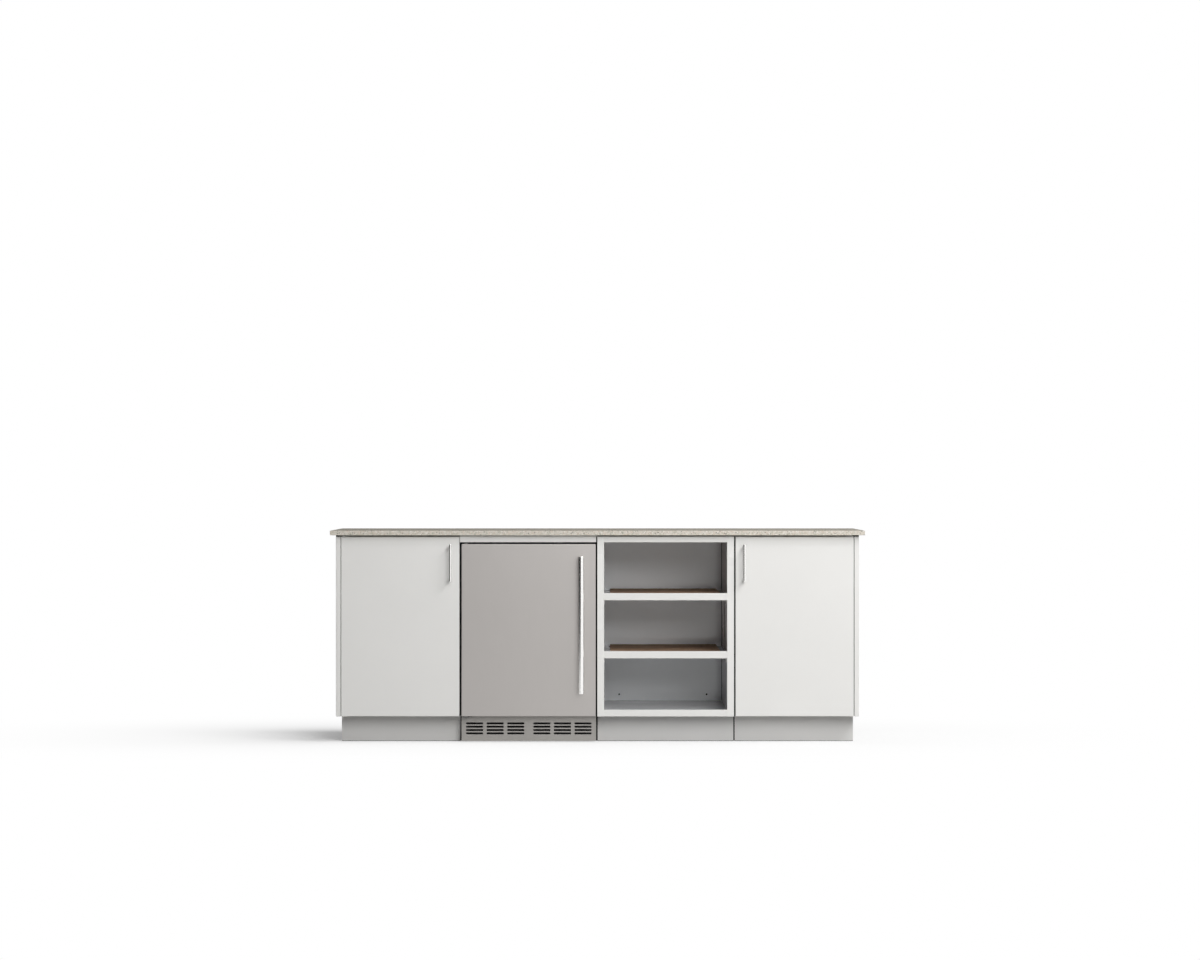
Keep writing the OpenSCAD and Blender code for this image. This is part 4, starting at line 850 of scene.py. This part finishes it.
class KITCHEN_OT_grille(PieceOperator, Operator):
    """Toe grille under the fridge door: four rows of six sloping slots in a flat panel with folded wings"""

    bl_idname = "kitchen.grille"
    bl_label = "Toe grille"

    def execute(self, context):
        looks = context.scene.kitchen_grille
        low, high = span("toe_grille")
        face, back = low[Y], low[Y] + looks.panel
        middle = (low[X] + high[X]) / 2
        step = looks.slot_w + looks.slot_gap
        start = (looks.mid_gap + looks.slot_w) / 2
        columns = [middle + side * (start + k * step) for side in (-1, 1) for k in range(3)]
        rows = [looks.first + k * looks.pitch for k in range(4)]
        bracket, gap = span("fridge_hinge_brackets")[0], 0.00002
        notch_x, notch_z = bracket[X] + looks.notch, bracket[Z] - gap
        slots_top = round(rows[-1] + looks.pitch / 2, 6)
        xs = grid_lines(columns, step / 2, low[X], high[X])
        zs = grid_lines(rows, looks.pitch / 2, low[Z], high[Z], notch_z)
        w, h = looks.slot_w / 2, looks.slot_h / 2
        shell = Shell()
        for z0, z1 in zip(zs, zs[1:]):
            cuts = xs if z0 < slots_top else sorted({*xs, notch_x})
            for x0, x1 in zip(cuts, cuts[1:]):
                in_notch = x1 <= notch_x + MERGE and z0 >= notch_z - MERGE
                if x1 - x0 < MERGE or z1 - z0 < MERGE or in_notch:
                    continue
                slots = [(x, z) for x in columns for z in rows if x0 < x < x1 and z0 < z < z1]
                for x, z in slots:
                    extra = [notch_x] if z1 == slots_top and x0 < notch_x < x1 else []
                    slot_cell(shell, (x0, z0), (x1, z1), (x - w, z - h), (x + w, z + h), face, looks, extra)
                if not slots:
                    for y in (face, back):
                        shell.add([(x0, y, z0), (x1, y, z0), (x1, y, z1), (x0, y, z1)], [[0, 1, 2, 3]])
        rim = [(low[X], low[Z]), (high[X], low[Z]), (high[X], high[Z])]
        rim += [(notch_x, high[Z]), (notch_x, notch_z), (low[X], notch_z)]
        shell.add(*border(rim, xs, zs, face, back))
        wing, wing_edge = looks.wing, 0.0003
        steps = both_edges(wing, wing_edge, 2)
        for x0, x1, top in ((low[X], low[X] + wing, notch_z), (high[X] - wing, high[X], high[Z])):
            shell.grid(slab((x0, back, low[Z]), (x1, high[Y], top), X, steps, wing_edge, 2))
        # The slot walls get black plastic: painted shade in the slots.
        finishes = ["grille_steel", "black_plastic"]
        shell.piece("slotted_toe_grille", "root", "fridge_steel", ["toe_grille"], finishes, 50.0)
        return {"FINISHED"}


# Bellows of the fridge seal in cross section: shares of its width and depth
BELLOWS = (
    (0.0, 0.0), (0.0, 0.22), (0.06, 0.3), (0.02, 0.42), (0.1, 0.5), (0.02, 0.6), (0.08, 0.72), (0.02, 0.86),
    (0.08, 0.97), (0.2, 1.0), (0.8, 1.0), (0.92, 0.97), (0.98, 0.86), (0.92, 0.72), (0.98, 0.6), (0.9, 0.5),
    (0.98, 0.42), (0.94, 0.3), (1.0, 0.22), (1.0, 0.0),
)


class KITCHEN_OT_fridge_door(PieceOperator, Operator):
    """Fridge door: brushed steel pan with a folded rear edge, and its bellows seal"""

    bl_idname = "kitchen.fridge_door"
    bl_label = "Fridge door"

    def execute(self, context):
        looks = context.scene.kitchen_fridge
        low, high = span("fridge_door")
        size, r = high[Y] - low[Y], looks.door_edge
        fold, lip, deep = 0.001, 0.016, 0.0008
        rear = mirrored(edge_steps(fold, 3), size)
        seam = [(lip, size), (lip + 0.0003, size - deep), (lip + 0.0015, size - deep), (lip + 0.0018, size)]
        shell = Shell()
        shell.grid(slab(low, high, Y, np.concatenate([edge_steps(r, 5), rear, seam]), r, 5))
        shell.piece("steel_door", "fridge_leaf", "fridge_steel", ["fridge_door"])

        corner, narrowing = 0.004, 0.002
        rings = []
        for u, v in BELLOWS:
            inset = looks.gasket_in + u * looks.gasket_w
            ring = outline(low[[X, Z]] + inset, high[[X, Z]] - inset, corner - u * narrowing)
            rings.append(np.insert(ring, Y, high[Y] + v * looks.gasket_t, axis=1))
        shell = Shell()
        shell.grid(np.array(rings), joined=True)
        shell.piece("bellows_seal", "fridge_leaf", "seal_rubber", ["fridge_gasket"], sharp=60.0)
        return {"FINISHED"}


class KITCHEN_OT_racks(PieceOperator, Operator):
    """Two wire racks: a closed frame of thick wire, three cross bars and thin rods that bend down in front"""

    bl_idname = "kitchen.racks"
    bl_label = "Fridge racks"

    def execute(self, context):
        looks = context.scene.kitchen_fridge
        low, high = span("fridge_racks")
        r, bar_in, bar_drop = looks.rack_frame / 2, looks.rack_bar_in, 0.0004
        # Distance behind the front wire and height over it, where a rod bends
        bends, rise = ((0.0, 0.0), (0.004, 0.0012), (0.012, 0.0014)), 0.0014
        x0, x1, y0, y1 = low[X] + r, high[X] - r, low[Y] + r, high[Y] - r
        shell = Shell()
        for z in (low[Z] + r, high[Z] - r):
            ring = outline((x0, y0), (x1, y1), looks.rack_corner, 6)
            shell.grid(tube(np.insert(ring, Z, z, axis=1), r, 14, True), joined=True)
            for y in (y0 + bar_in, (y0 + y1) / 2, y1 - bar_in):
                shell.grid(tube([(x0, y, z - bar_drop), (x1, y, z - bar_drop)], looks.rack_bar / 2, 12))
            count = int((x1 - x0) / looks.rack_pitch)
            for k in range(1, count):
                x = x0 + k * (x1 - x0) / count
                rod = [(x, y0 + back, z + up) for back, up in bends] + [(x, y1, z + rise)]
                shell.grid(tube(rod, looks.rack_rod / 2, 8))
        shell.piece("wire_racks", "root", "bright_steel", ["fridge_racks"], sharp=60.0)
        return {"FINISHED"}


def dial_figure(text, size, depth):
    """Points and faces of one figure, flat in XY and that deep."""
    curve = bpy.data.curves.new("figure", "FONT")
    curve.body, curve.size, curve.extrude = text, size, depth / 2
    curve.align_x, curve.align_y = "CENTER", "CENTER"
    curve.resolution_u = 3
    holder = bpy.data.objects.new("figure", curve)
    bpy.context.scene.collection.objects.link(holder)
    bpy.context.view_layer.update()
    mesh = bpy.data.meshes.new_from_object(holder.evaluated_get(bpy.context.evaluated_depsgraph_get()))
    points = np.empty(len(mesh.vertices) * 3)
    mesh.vertices.foreach_get("co", points)
    faces = [list(face.vertices) for face in mesh.polygons]
    bpy.data.objects.remove(holder)
    bpy.data.meshes.remove(mesh)
    return points.reshape(-1, 3), faces


class KITCHEN_OT_controls(PieceOperator, Operator):
    """Thermostat dial with a pointer and the figures 1 to 5; round the angle a its radius dips by a flute's
    depth times (0.5 + 0.5 cos(flutes a))^2"""

    bl_idname = "kitchen.controls"
    bl_label = "Thermostat dial"

    def execute(self, context):
        looks = context.scene.kitchen_fridge
        low, high = span("thermostat_dial")
        housing, gap = span("control_housing")[0][Y], 0.0003
        x, z = (low[X] + high[X]) / 2, (low[Z] + high[Z]) / 2
        r, front, back = looks.dial / 2, housing - looks.dial_height, housing - gap
        # Share of the radius, place in depth, and depth of the flutes as a share of the radius
        rows = np.array([
            (0.0, front, 0.0), (0.55, front, 0.0), (0.62, front + 0.0004, 0.0), (0.84, front + 0.0004, 0.0),
            (0.92, front + 0.0006, 0.06), (0.97, front + 0.0016, 0.1), (1.0, back - 0.0024, 0.1),
            (1.0, back - 0.002, 0.0), (1.0, back - 0.0003, 0.0), (0.98, back, 0.0), (0.3, back, 0.0),
            (0.23, back, 0.0), (0.23, high[Y], 0.0), (0.0, high[Y], 0.0),
        ])
        share, place, flute = rows.T[:, :, None]
        wave = 0.5 + 0.5 * np.cos(looks.flutes * circle(12 * looks.flutes))
        shell = Shell()
        shell.grid(ringed((x, 0.0, z), Y, r * (share - flute * wave**2), place), caps=False)
        half, out, sunk, start, end = 0.0012, 0.0012, 0.0006, 0.002, 0.0035
        pointer = (x - half, front - out, z + start), (x + half, front + sunk, z + r - end)
        shell.grid(slab(*pointer, Y, both_edges(out + sunk, 0.0003, 2), 0.0008, 3), mark=1)
        turn, ring, tall, thick = 50, 0.0088, 0.0036, 0.0003
        for k in range(1, 6):
            angle = math.radians(turn * (k - 3) + 180)
            points, faces = dial_figure(str(k), tall, thick)
            spot = [x + ring * math.sin(angle), front + thick, z + ring * math.cos(angle)]
            shell.add(points[:, [X, Z, Y]] * [1, -1, 1] + spot, faces, mark=1)
        shell.piece("fluted_dial", "dial", "dial_plastic", ["thermostat_dial"], ["dial_plastic", "lettering"])
        return {"FINISHED"}


def cross_head(shell, centre, axis, sign, r):
    """Screw head with a cross: q from its middle it is 0.42 r (1 - 0.75 (q / r)^2) high, and 0.1 r in the
    cross, whose arms are 0.34 r wide and reach to 0.6 r."""
    n = 32
    a = circle(n)
    q = np.array([[0.0, *np.linspace(0.12, 1.0, 9)]]).T * r
    arm = q * np.minimum(np.abs(np.sin(a)), np.abs(np.cos(a)))
    h = np.where((arm < 0.17 * r) & (q < 0.6 * r), 0.1 * r, 0.42 * r * (1 - 0.75 * (q / r) ** 2))
    points = ringed(centre, axis, np.append(q, [[r]], 0), np.append(sign * h, np.zeros((1, n)), 0))
    shell.grid(points, caps=False)
    shell.add(points[-1], [list(range(n))])


class KITCHEN_OT_fasteners(PieceOperator, Operator):
    """Strike plates and handle screws inside the doors, and the screws of the shelf cleats"""

    bl_idname = "kitchen.fasteners"
    bl_label = "Fasteners"

    def execute(self, context):
        looks = context.scene.kitchen_handles
        rear = span("left_door")[1][Y]
        plate, plate_edge, plate_corner, handle_screw = 0.0012, 0.0003, 0.0015, 0.004
        for side in SIDES:
            handle, (low, high) = span(f"{side}_handle"), span(f"{side}_catch")
            x = (handle[0][X] + handle[1][X]) / 2
            shell = Shell()
            corners = (low[X], rear, low[Z]), (high[X], rear + plate, high[Z])
            shell.grid(slab(*corners, Y, both_edges(plate, plate_edge, 2), plate_corner))
            for z in post_heights(side, looks):
                cross_head(shell, (x, rear, z), Y, 1, handle_screw)
            names = f"{side}_strike_and_screws", f"{side}_leaf", "bright_steel"
            shell.piece(*names, [f"{side}_door_fixings"])
        low, high = span("shelf_cleats")
        sheet, below, end, cleat_screw = 0.002, 0.011, 0.04, 0.0035
        shell = Shell()
        for x, sign in ((low[X] + sheet, 1), (high[X] - sheet, -1)):
            for shelf in ("upper", "lower"):
                z = span(f"{shelf}_shelf")[0][Z] - below
                for y in (low[Y] + end, (low[Y] + high[Y]) / 2, high[Y] - end):
                    cross_head(shell, (x, y, z), X, sign, cleat_screw)
        shell.piece("cleat_screws", "root", "bright_steel")
        return {"FINISHED"}


class KITCHEN_OT_joint_seals(PieceOperator, Operator):
    """Foam and tape in the joints, shims, floor seals, hole caps and a pale strip over the fridge; the black
    strips in the joints are also painted shade in the gaps
    """

    bl_idname = "kitchen.joint_seals"
    bl_label = "Joint seals"

    def execute(self, context):
        looks = context.scene.kitchen_seals
        inset, tape = looks.inset, looks.tape
        shell = Shell()

        def strip(x0, x1, face, z0, z1, depth=looks.depth, mark=0):
            """Strip between those places along X and Z, whose front lies at face."""
            low, high = (x0 + TINY, face, z0 + TINY), (x1 - TINY, face + depth, z1 - TINY)
            shell.grid(slab(low, high, Y, [(0.0, 0.0), (0.0, depth)], TINY, 1), mark=mark)

        # Foam beside the back panels, between the boxes, and between the boards of the plinth: black, also
        # painted shade in those gaps
        for cabinet in CABINETS:
            back, floor = span(f"{cabinet}_back"), span(f"{cabinet}_floor")
            for x0, x1 in ((floor[0][X], back[0][X]), (back[1][X], floor[1][X])):
                strip(x0, x1, back[0][Y] + inset, back[0][Z], back[1][Z])
        left, bay, right = (span(f"{cabinet}_walls") for cabinet in CABINETS)
        case, grille = span("fridge_case"), span("toe_grille")
        for x0, x1, face in (
            (left[1][X], case[0][X], case[0][Y]),
            (case[1][X], bay[0][X], case[0][Y]),
            (bay[1][X], right[0][X], right[0][Y]),
        ):
            strip(x0, x1, face + inset, bay[0][Z], bay[1][Z])
        kicks = [span(f"{cabinet}_toe_kick") for cabinet in CABINETS]
        low, high = kicks[1]
        for x0, x1 in ((kicks[0][1][X], grille[0][X]), (grille[1][X], low[X]), (high[X], kicks[2][0][X])):
            strip(x0, x1, low[Y] + inset, low[Z], high[Z])

        # Seam at the end of the rail over the fridge, and tape beside the fridge: black strips, painted shade
        # in both
        low, high = span("appliance_rails")
        seam = low[Y] + looks.rail_depth - inset
        strip(bay[0][X] - looks.rail_seam, bay[0][X], seam, low[Z], high[Z], inset)
        face = bay[0][Y] + inset
        strip(bay[0][X] - tape, bay[0][X], face, bay[0][Z], low[Z], case[0][Y] - face)

        # Buffers on the boxes beside the doors, and tape beside the hinge edges: black strips, painted shade
        # in the door gaps
        for walls, (low, high), x in (
            (left, span("left_door"), left[0][X]),
            (right, span("right_door"), right[1][X] - tape),
        ):
            for x0, x1 in ((walls[0][X], low[X]), (high[X], walls[1][X])):
                strip(x0, x1, walls[0][Y] - looks.buffer, low[Z], high[Z], looks.buffer)
            strip(x, x + tape, low[Y] + inset, low[Z], high[Z], high[Y] - low[Y] - inset)

        # Shims between the end panels and the backing board, and a pale strip in front of that board over the
        # fridge: painted light that lightens the line under the slab
        deck_low, deck_high = span("worktop_deck")
        low, high = span("left_end_panel")[0], span("right_end_panel")[1]
        for x0, x1 in ((low[X] + tape, deck_low[X]), (deck_high[X], high[X] - tape)):
            strip(x0, x1, low[Y] + inset, deck_low[Z], deck_high[Z], high[Y] - low[Y] - 2 * inset)
        x0, x1 = left[1][X] - TINY, bay[0][X] + TINY
        strip(x0, x1, deck_low[Y] - looks.trim, deck_low[Z], deck_high[Z], looks.trim, mark=1)

        # Floor seals, black, which also stand in for the contact shadow under the plinths (painted shadow),
        # and hole caps
        for low, high in kicks:
            strip(low[X], high[X], low[Y] + looks.foot_inset, 0.0, low[Z])
        holes = next(mount for mount in frame["record"]["mounts"] if mount["name"] == "wall_fixing_holes")
        x, _, z = holes["pos_m"]
        r, apart = holes["dims"]["hole_r_mm"] / 1000 - TINY, holes["dims"]["spacing_x_mm"] / 1000
        face = span("open_back")[0][Y] + inset
        cap = [(0.0, 0.0), (r, 0.0), (r, inset), (0.0, inset)]
        for side in (-1, 1):
            shell.grid(turned((x + side * apart / 2, face, z), Y, cap, 32), caps=False)
        shell.piece("joint_seals", "root", "seal_rubber", finishes=["joint_foam", "white_paint"])
        return {"FINISHED"}


def centres_of(node):
    """Middle of each foot of a node, from its points near the floor: those within reach belong together."""
    near_floor, reach = 0.001, 0.06
    mesh = NODES[node].data
    points = np.empty(len(mesh.vertices) * 3)
    mesh.vertices.foreach_get("co", points)
    points = points.reshape(-1, 3)
    flat = points[points[:, Z] < near_floor][:, :2]
    found = []
    while len(flat):
        near = np.linalg.norm(flat - flat[0], axis=1) < reach
        group = flat[near]
        found.append((group.min(0) + group.max(0)) / 2)
        flat = flat[~near]
    return sorted((round(float(x), 5), round(float(y), 5)) for x, y in found)


# Radius and height along a foot's pad, and along its hexagon, whose radius goes to the corners
FOOT_PAD = (
    (0.0, 0.0), (0.0235, 0.0), (0.025, 0.0012), (0.025, 0.003), (0.0243, 0.0036), (0.0243, 0.0042),
    (0.022, 0.0048), (0.013, 0.008), (0.0, 0.008),
)
FOOT_HEXAGON = (
    (0.0, 0.008), (0.0125, 0.008), (0.01385, 0.0088), (0.01385, 0.0172), (0.0125, 0.018), (0.0, 0.018),
)


class KITCHEN_OT_feet(PieceOperator, Operator):
    """Levelling feet: bevelled pad, hexagon, and a stem with a thread that climbs one pitch in each turn"""

    bl_idname = "kitchen.feet"
    bl_label = "Levelling feet"

    def execute(self, context):
        n, pitch, groove, crest = 24, 0.003, 0.0054, 0.006
        thread_start, thread_end, plain_start, top = 0.018, 0.060, 0.0585, span("levelling_feet")[1][Z]
        heights = np.arange(thread_start, thread_end, pitch / 6)[:, None]
        turn = heights / pitch - circle(n) / (2 * math.pi)
        radius = groove + (crest - groove) * np.abs(2 * (turn % 1.0) - 1.0)
        stem = [(0.0, plain_start), (crest, plain_start), (crest, top), (0.0, top)]
        shell = Shell()
        for x, y in centres_of("levelling_feet"):
            centre = (x, y, 0.0)
            shell.grid(turned(centre, Z, FOOT_PAD, 40), caps=False)
            shell.grid(turned(centre, Z, FOOT_HEXAGON, 6), caps=False)
            shell.grid(ringed(centre, Z, radius, heights))
            shell.grid(turned(centre, Z, stem, n), caps=False)
        shell.piece("threaded_feet", "root", "black_plastic", ["levelling_feet"], sharp=35.0)
        return {"FINISHED"}


# Studio


def seen(web):
    """1 for camera, glossy and transmission rays, 0 for the rest."""
    path = web.node("ShaderNodeLightPath")
    total = path.outputs["Is Camera Ray"]
    for name in ("Is Glossy Ray", "Is Transmission Ray"):
        total = web.fed("ShaderNodeMath", total, path.outputs[name], operation="MAXIMUM").outputs[0]
    return total


# Share of the shadow's span, and how white the floor is there
SHADOW_CURVE = ((0.045, 0.10), (0.11, 0.32), (0.18, 0.52), (0.31, 0.76), (0.48, 0.89))


def from_foot(web, looks):
    """0 in the shadow's core, rising with the distance from it: over (x, y) less the core's rectangle, where
    y counts core_flat times, the length is put through a curve of seven points."""
    low, high = (np.array([*span(f"{side}_toe_kick")[k][:2], 0.0]) for k, side in enumerate(SIDES))
    low += [0.0, looks.core_in, 0.0]
    high -= [looks.core_right, looks.core_in, 0.0]
    value = web.node("ShaderNodeTexCoord").outputs["Object"]
    for kind, other in (
        ("SUBTRACT", (high + low) / 2),
        ("ABSOLUTE", None),
        ("SUBTRACT", (high - low) / 2),
        ("MAXIMUM", [0.0] * 3),
        ("MULTIPLY", [1.0, looks.core_flat, 0.0]),
        ("LENGTH", None),
    ):
        step = web.fed("ShaderNodeVectorMath", value, operation=kind)
        if other is not None:
            step.inputs[1].default_value = other
        value = step.outputs["Value" if kind == "LENGTH" else "Vector"]
    rise = web.fed("ShaderNodeMapRange", value, From_Max=looks.floor_fade)
    curve = web.node("ShaderNodeFloatCurve")
    points = curve.mapping.curves[0].points
    for place, height in SHADOW_CURVE:
        points.new(place, height)
    curve.mapping.update()
    web.link(rise.outputs["Result"], curve.inputs["Value"])
    return curve.outputs["Value"]


def floor_finish(looks):
    """White floor: part glow and part lit surface where it is seen, a plain pale one for all other light."""
    material = bpy.data.materials.new("Studio floor")
    web = Web(material, empty=True)
    plain = web.node("ShaderNodeBsdfDiffuse", Color=(*[looks.floor_tone] * 3, 1.0))
    lit = web.node("ShaderNodeBsdfDiffuse", Color=(*[looks.floor_lit] * 3, 1.0))
    glow = web.node("ShaderNodeEmission", Strength=looks.floor_glow)
    white = web.node("ShaderNodeEmission")
    shaded = web.fed("ShaderNodeAddShader", lit.outputs[0], glow.outputs[0])
    faded = web.fed("ShaderNodeMixShader", from_foot(web, looks), shaded.outputs[0], white.outputs[0])
    shown = web.fed("ShaderNodeMixShader", seen(web), plain.outputs[0], faded.outputs[0])
    web.fed("ShaderNodeOutputMaterial", shown.outputs[0])
    return material


def dark_finish(name, strength):
    """Even dark glow."""
    material = bpy.data.materials.new(name)
    web = Web(material, empty=True)
    web.fed("ShaderNodeOutputMaterial", web.node("ShaderNodeEmission", Strength=strength).outputs[0])
    return material


def flat_card(scene, name, corners, material):
    """Flat piece of the studio through four corners."""
    mesh = bpy.data.meshes.new(name)
    mesh.from_pydata(corners, [], [(0, 1, 2, 3)])
    mesh.materials.append(material)
    card = bpy.data.objects.new(name, mesh)
    scene.collection.objects.link(card)
    return card


def dark_flag(scene, name, corners, strength):
    """Dark card beside the set: gloss shows it, and nothing else does."""
    card = flat_card(scene, name, corners, dark_finish(name, strength))
    card.visible_camera = card.visible_diffuse = card.visible_shadow = card.visible_transmission = False


def area_lamp(scene, name, looks, aim):
    """Square lamp that looks at aim; its turn goes round from the front, its rise up from the level."""
    turn, rise = (math.radians(getattr(looks, f"{name}_{angle}")) for angle in ("turn", "rise"))
    towards = Vector((math.sin(turn) * math.cos(rise), -math.cos(turn) * math.cos(rise), math.sin(rise)))
    lamp = bpy.data.lights.new(name, "AREA")
    lamp.shape, lamp.size, lamp.energy = "SQUARE", getattr(looks, f"{name}_size"), getattr(looks, name)
    holder = bpy.data.objects.new(name, lamp)
    holder.location = aim + getattr(looks, f"{name}_far") * towards
    holder.rotation_euler = towards.to_track_quat("Z", "Y").to_euler()
    scene.collection.objects.link(holder)
    return holder


def surroundings(scene, looks):
    """World that looks white and gives a faint even light."""
    world = bpy.data.worlds.new("studio")
    scene.world = world
    web = Web(world)
    even = web.tree.nodes["Background"]
    even.inputs["Color"].default_value = WHITE
    even.inputs["Strength"].default_value = looks.ambient
    white = web.node("ShaderNodeBackground", Color=WHITE)
    shown = web.fed("ShaderNodeMixShader", seen(web), even.outputs[0], white.outputs[0])
    web.link(shown.outputs[0], web.tree.nodes["World Output"].inputs["Surface"])


class KITCHEN_OT_studio(PieceOperator, Operator):
    """Pale floor that keeps the shadow, white surroundings, three lamps, two dark cards and the camera"""

    bl_idname = "kitchen.studio"
    bl_label = "Studio"

    def execute(self, context):
        scene, looks = context.scene, context.scene.kitchen_studio
        camera = bpy.data.objects.new("camera", bpy.data.cameras.new("camera"))
        camera.data.lens, camera.data.sensor_width = looks.lens, 36.0
        camera.data.clip_end = 200.0
        camera.location = (looks.side, span("left_door")[0][Y] - looks.distance, looks.height)
        camera.rotation_euler = (math.pi / 2, 0.0, 0.0)
        scene.collection.objects.link(camera)
        scene.camera = camera

        doors_middle = Vector((0.0, 0.0, 0.5))
        for name in ("key", "front"):
            area_lamp(scene, name, looks, doors_middle)
        area_lamp(scene, "rear", looks, doors_middle).visible_glossy = False
        surroundings(scene, looks)

        far = 30.0
        corners = [(-far, -far, 0), (far, -far, 0), (far, far, 0), (-far, far, 0)]
        floor = flat_card(scene, "floor", corners, floor_finish(looks))
        near, left, rear, left_top, rear_top = (-1.6, -9.0), -8.0, 5.0, 5.0, 16.0
        corners = [(*near, 0.0), (left, rear, 0.0), (left, rear, left_top), (*near, left_top)]
        dark_flag(scene, "left_flag", corners, looks.flag)
        corners = [(left, rear, 0.0), (-left, rear, 0.0), (-left, rear, rear_top), (left, rear, rear_top)]
        dark_flag(scene, "rear_flag", corners, looks.flag)
        scene.view_settings.view_transform = "Standard"
        return {"FINISHED"}


OPERATORS = [
    KITCHEN_OT_finishes,
    KITCHEN_OT_worktop,
    KITCHEN_OT_panels,
    KITCHEN_OT_handles,
    KITCHEN_OT_shelf_boards,
    KITCHEN_OT_grille,
    KITCHEN_OT_fridge_door,
    KITCHEN_OT_racks,
    KITCHEN_OT_controls,
    KITCHEN_OT_fasteners,
    KITCHEN_OT_joint_seals,
    KITCHEN_OT_feet,
    KITCHEN_OT_studio,
]


class KITCHEN_PT_sidebar(Panel):
    """Buttons for the pieces, and their sizes and colours"""

    bl_idname = "KITCHEN_PT_sidebar"
    bl_label = "Outdoor kitchen"
    bl_space_type = "VIEW_3D"
    bl_region_type = "UI"
    bl_category = "Kitchen"

    def draw(self, context):
        for operator in OPERATORS:
            self.layout.operator(operator.bl_idname)
        for name, group in GROUPS.items():
            box = self.layout.box()
            box.label(text=group.__doc__)
            for key in group.__annotations__:
                box.prop(getattr(context.scene, name), key)


def register():
    """Adds the groups of values, the operators and the panel."""
    for name, group in GROUPS.items():
        bpy.utils.register_class(group)
        setattr(bpy.types.Scene, name, PointerProperty(type=group))
    for item in (*OPERATORS, KITCHEN_PT_sidebar):
        bpy.utils.register_class(item)


def unregister():
    """Takes them away again."""
    for item in reversed((*OPERATORS, KITCHEN_PT_sidebar)):
        bpy.utils.unregister_class(item)
    for name, group in reversed(GROUPS.items()):
        delattr(bpy.types.Scene, name)
        bpy.utils.unregister_class(group)


def main():
    """Registers everything and makes every piece in order."""
    register()
    for operator in OPERATORS:
        group, name = operator.bl_idname.split(".")
        getattr(getattr(bpy.ops, group), name)()


if __name__ == "__main__":
    main()
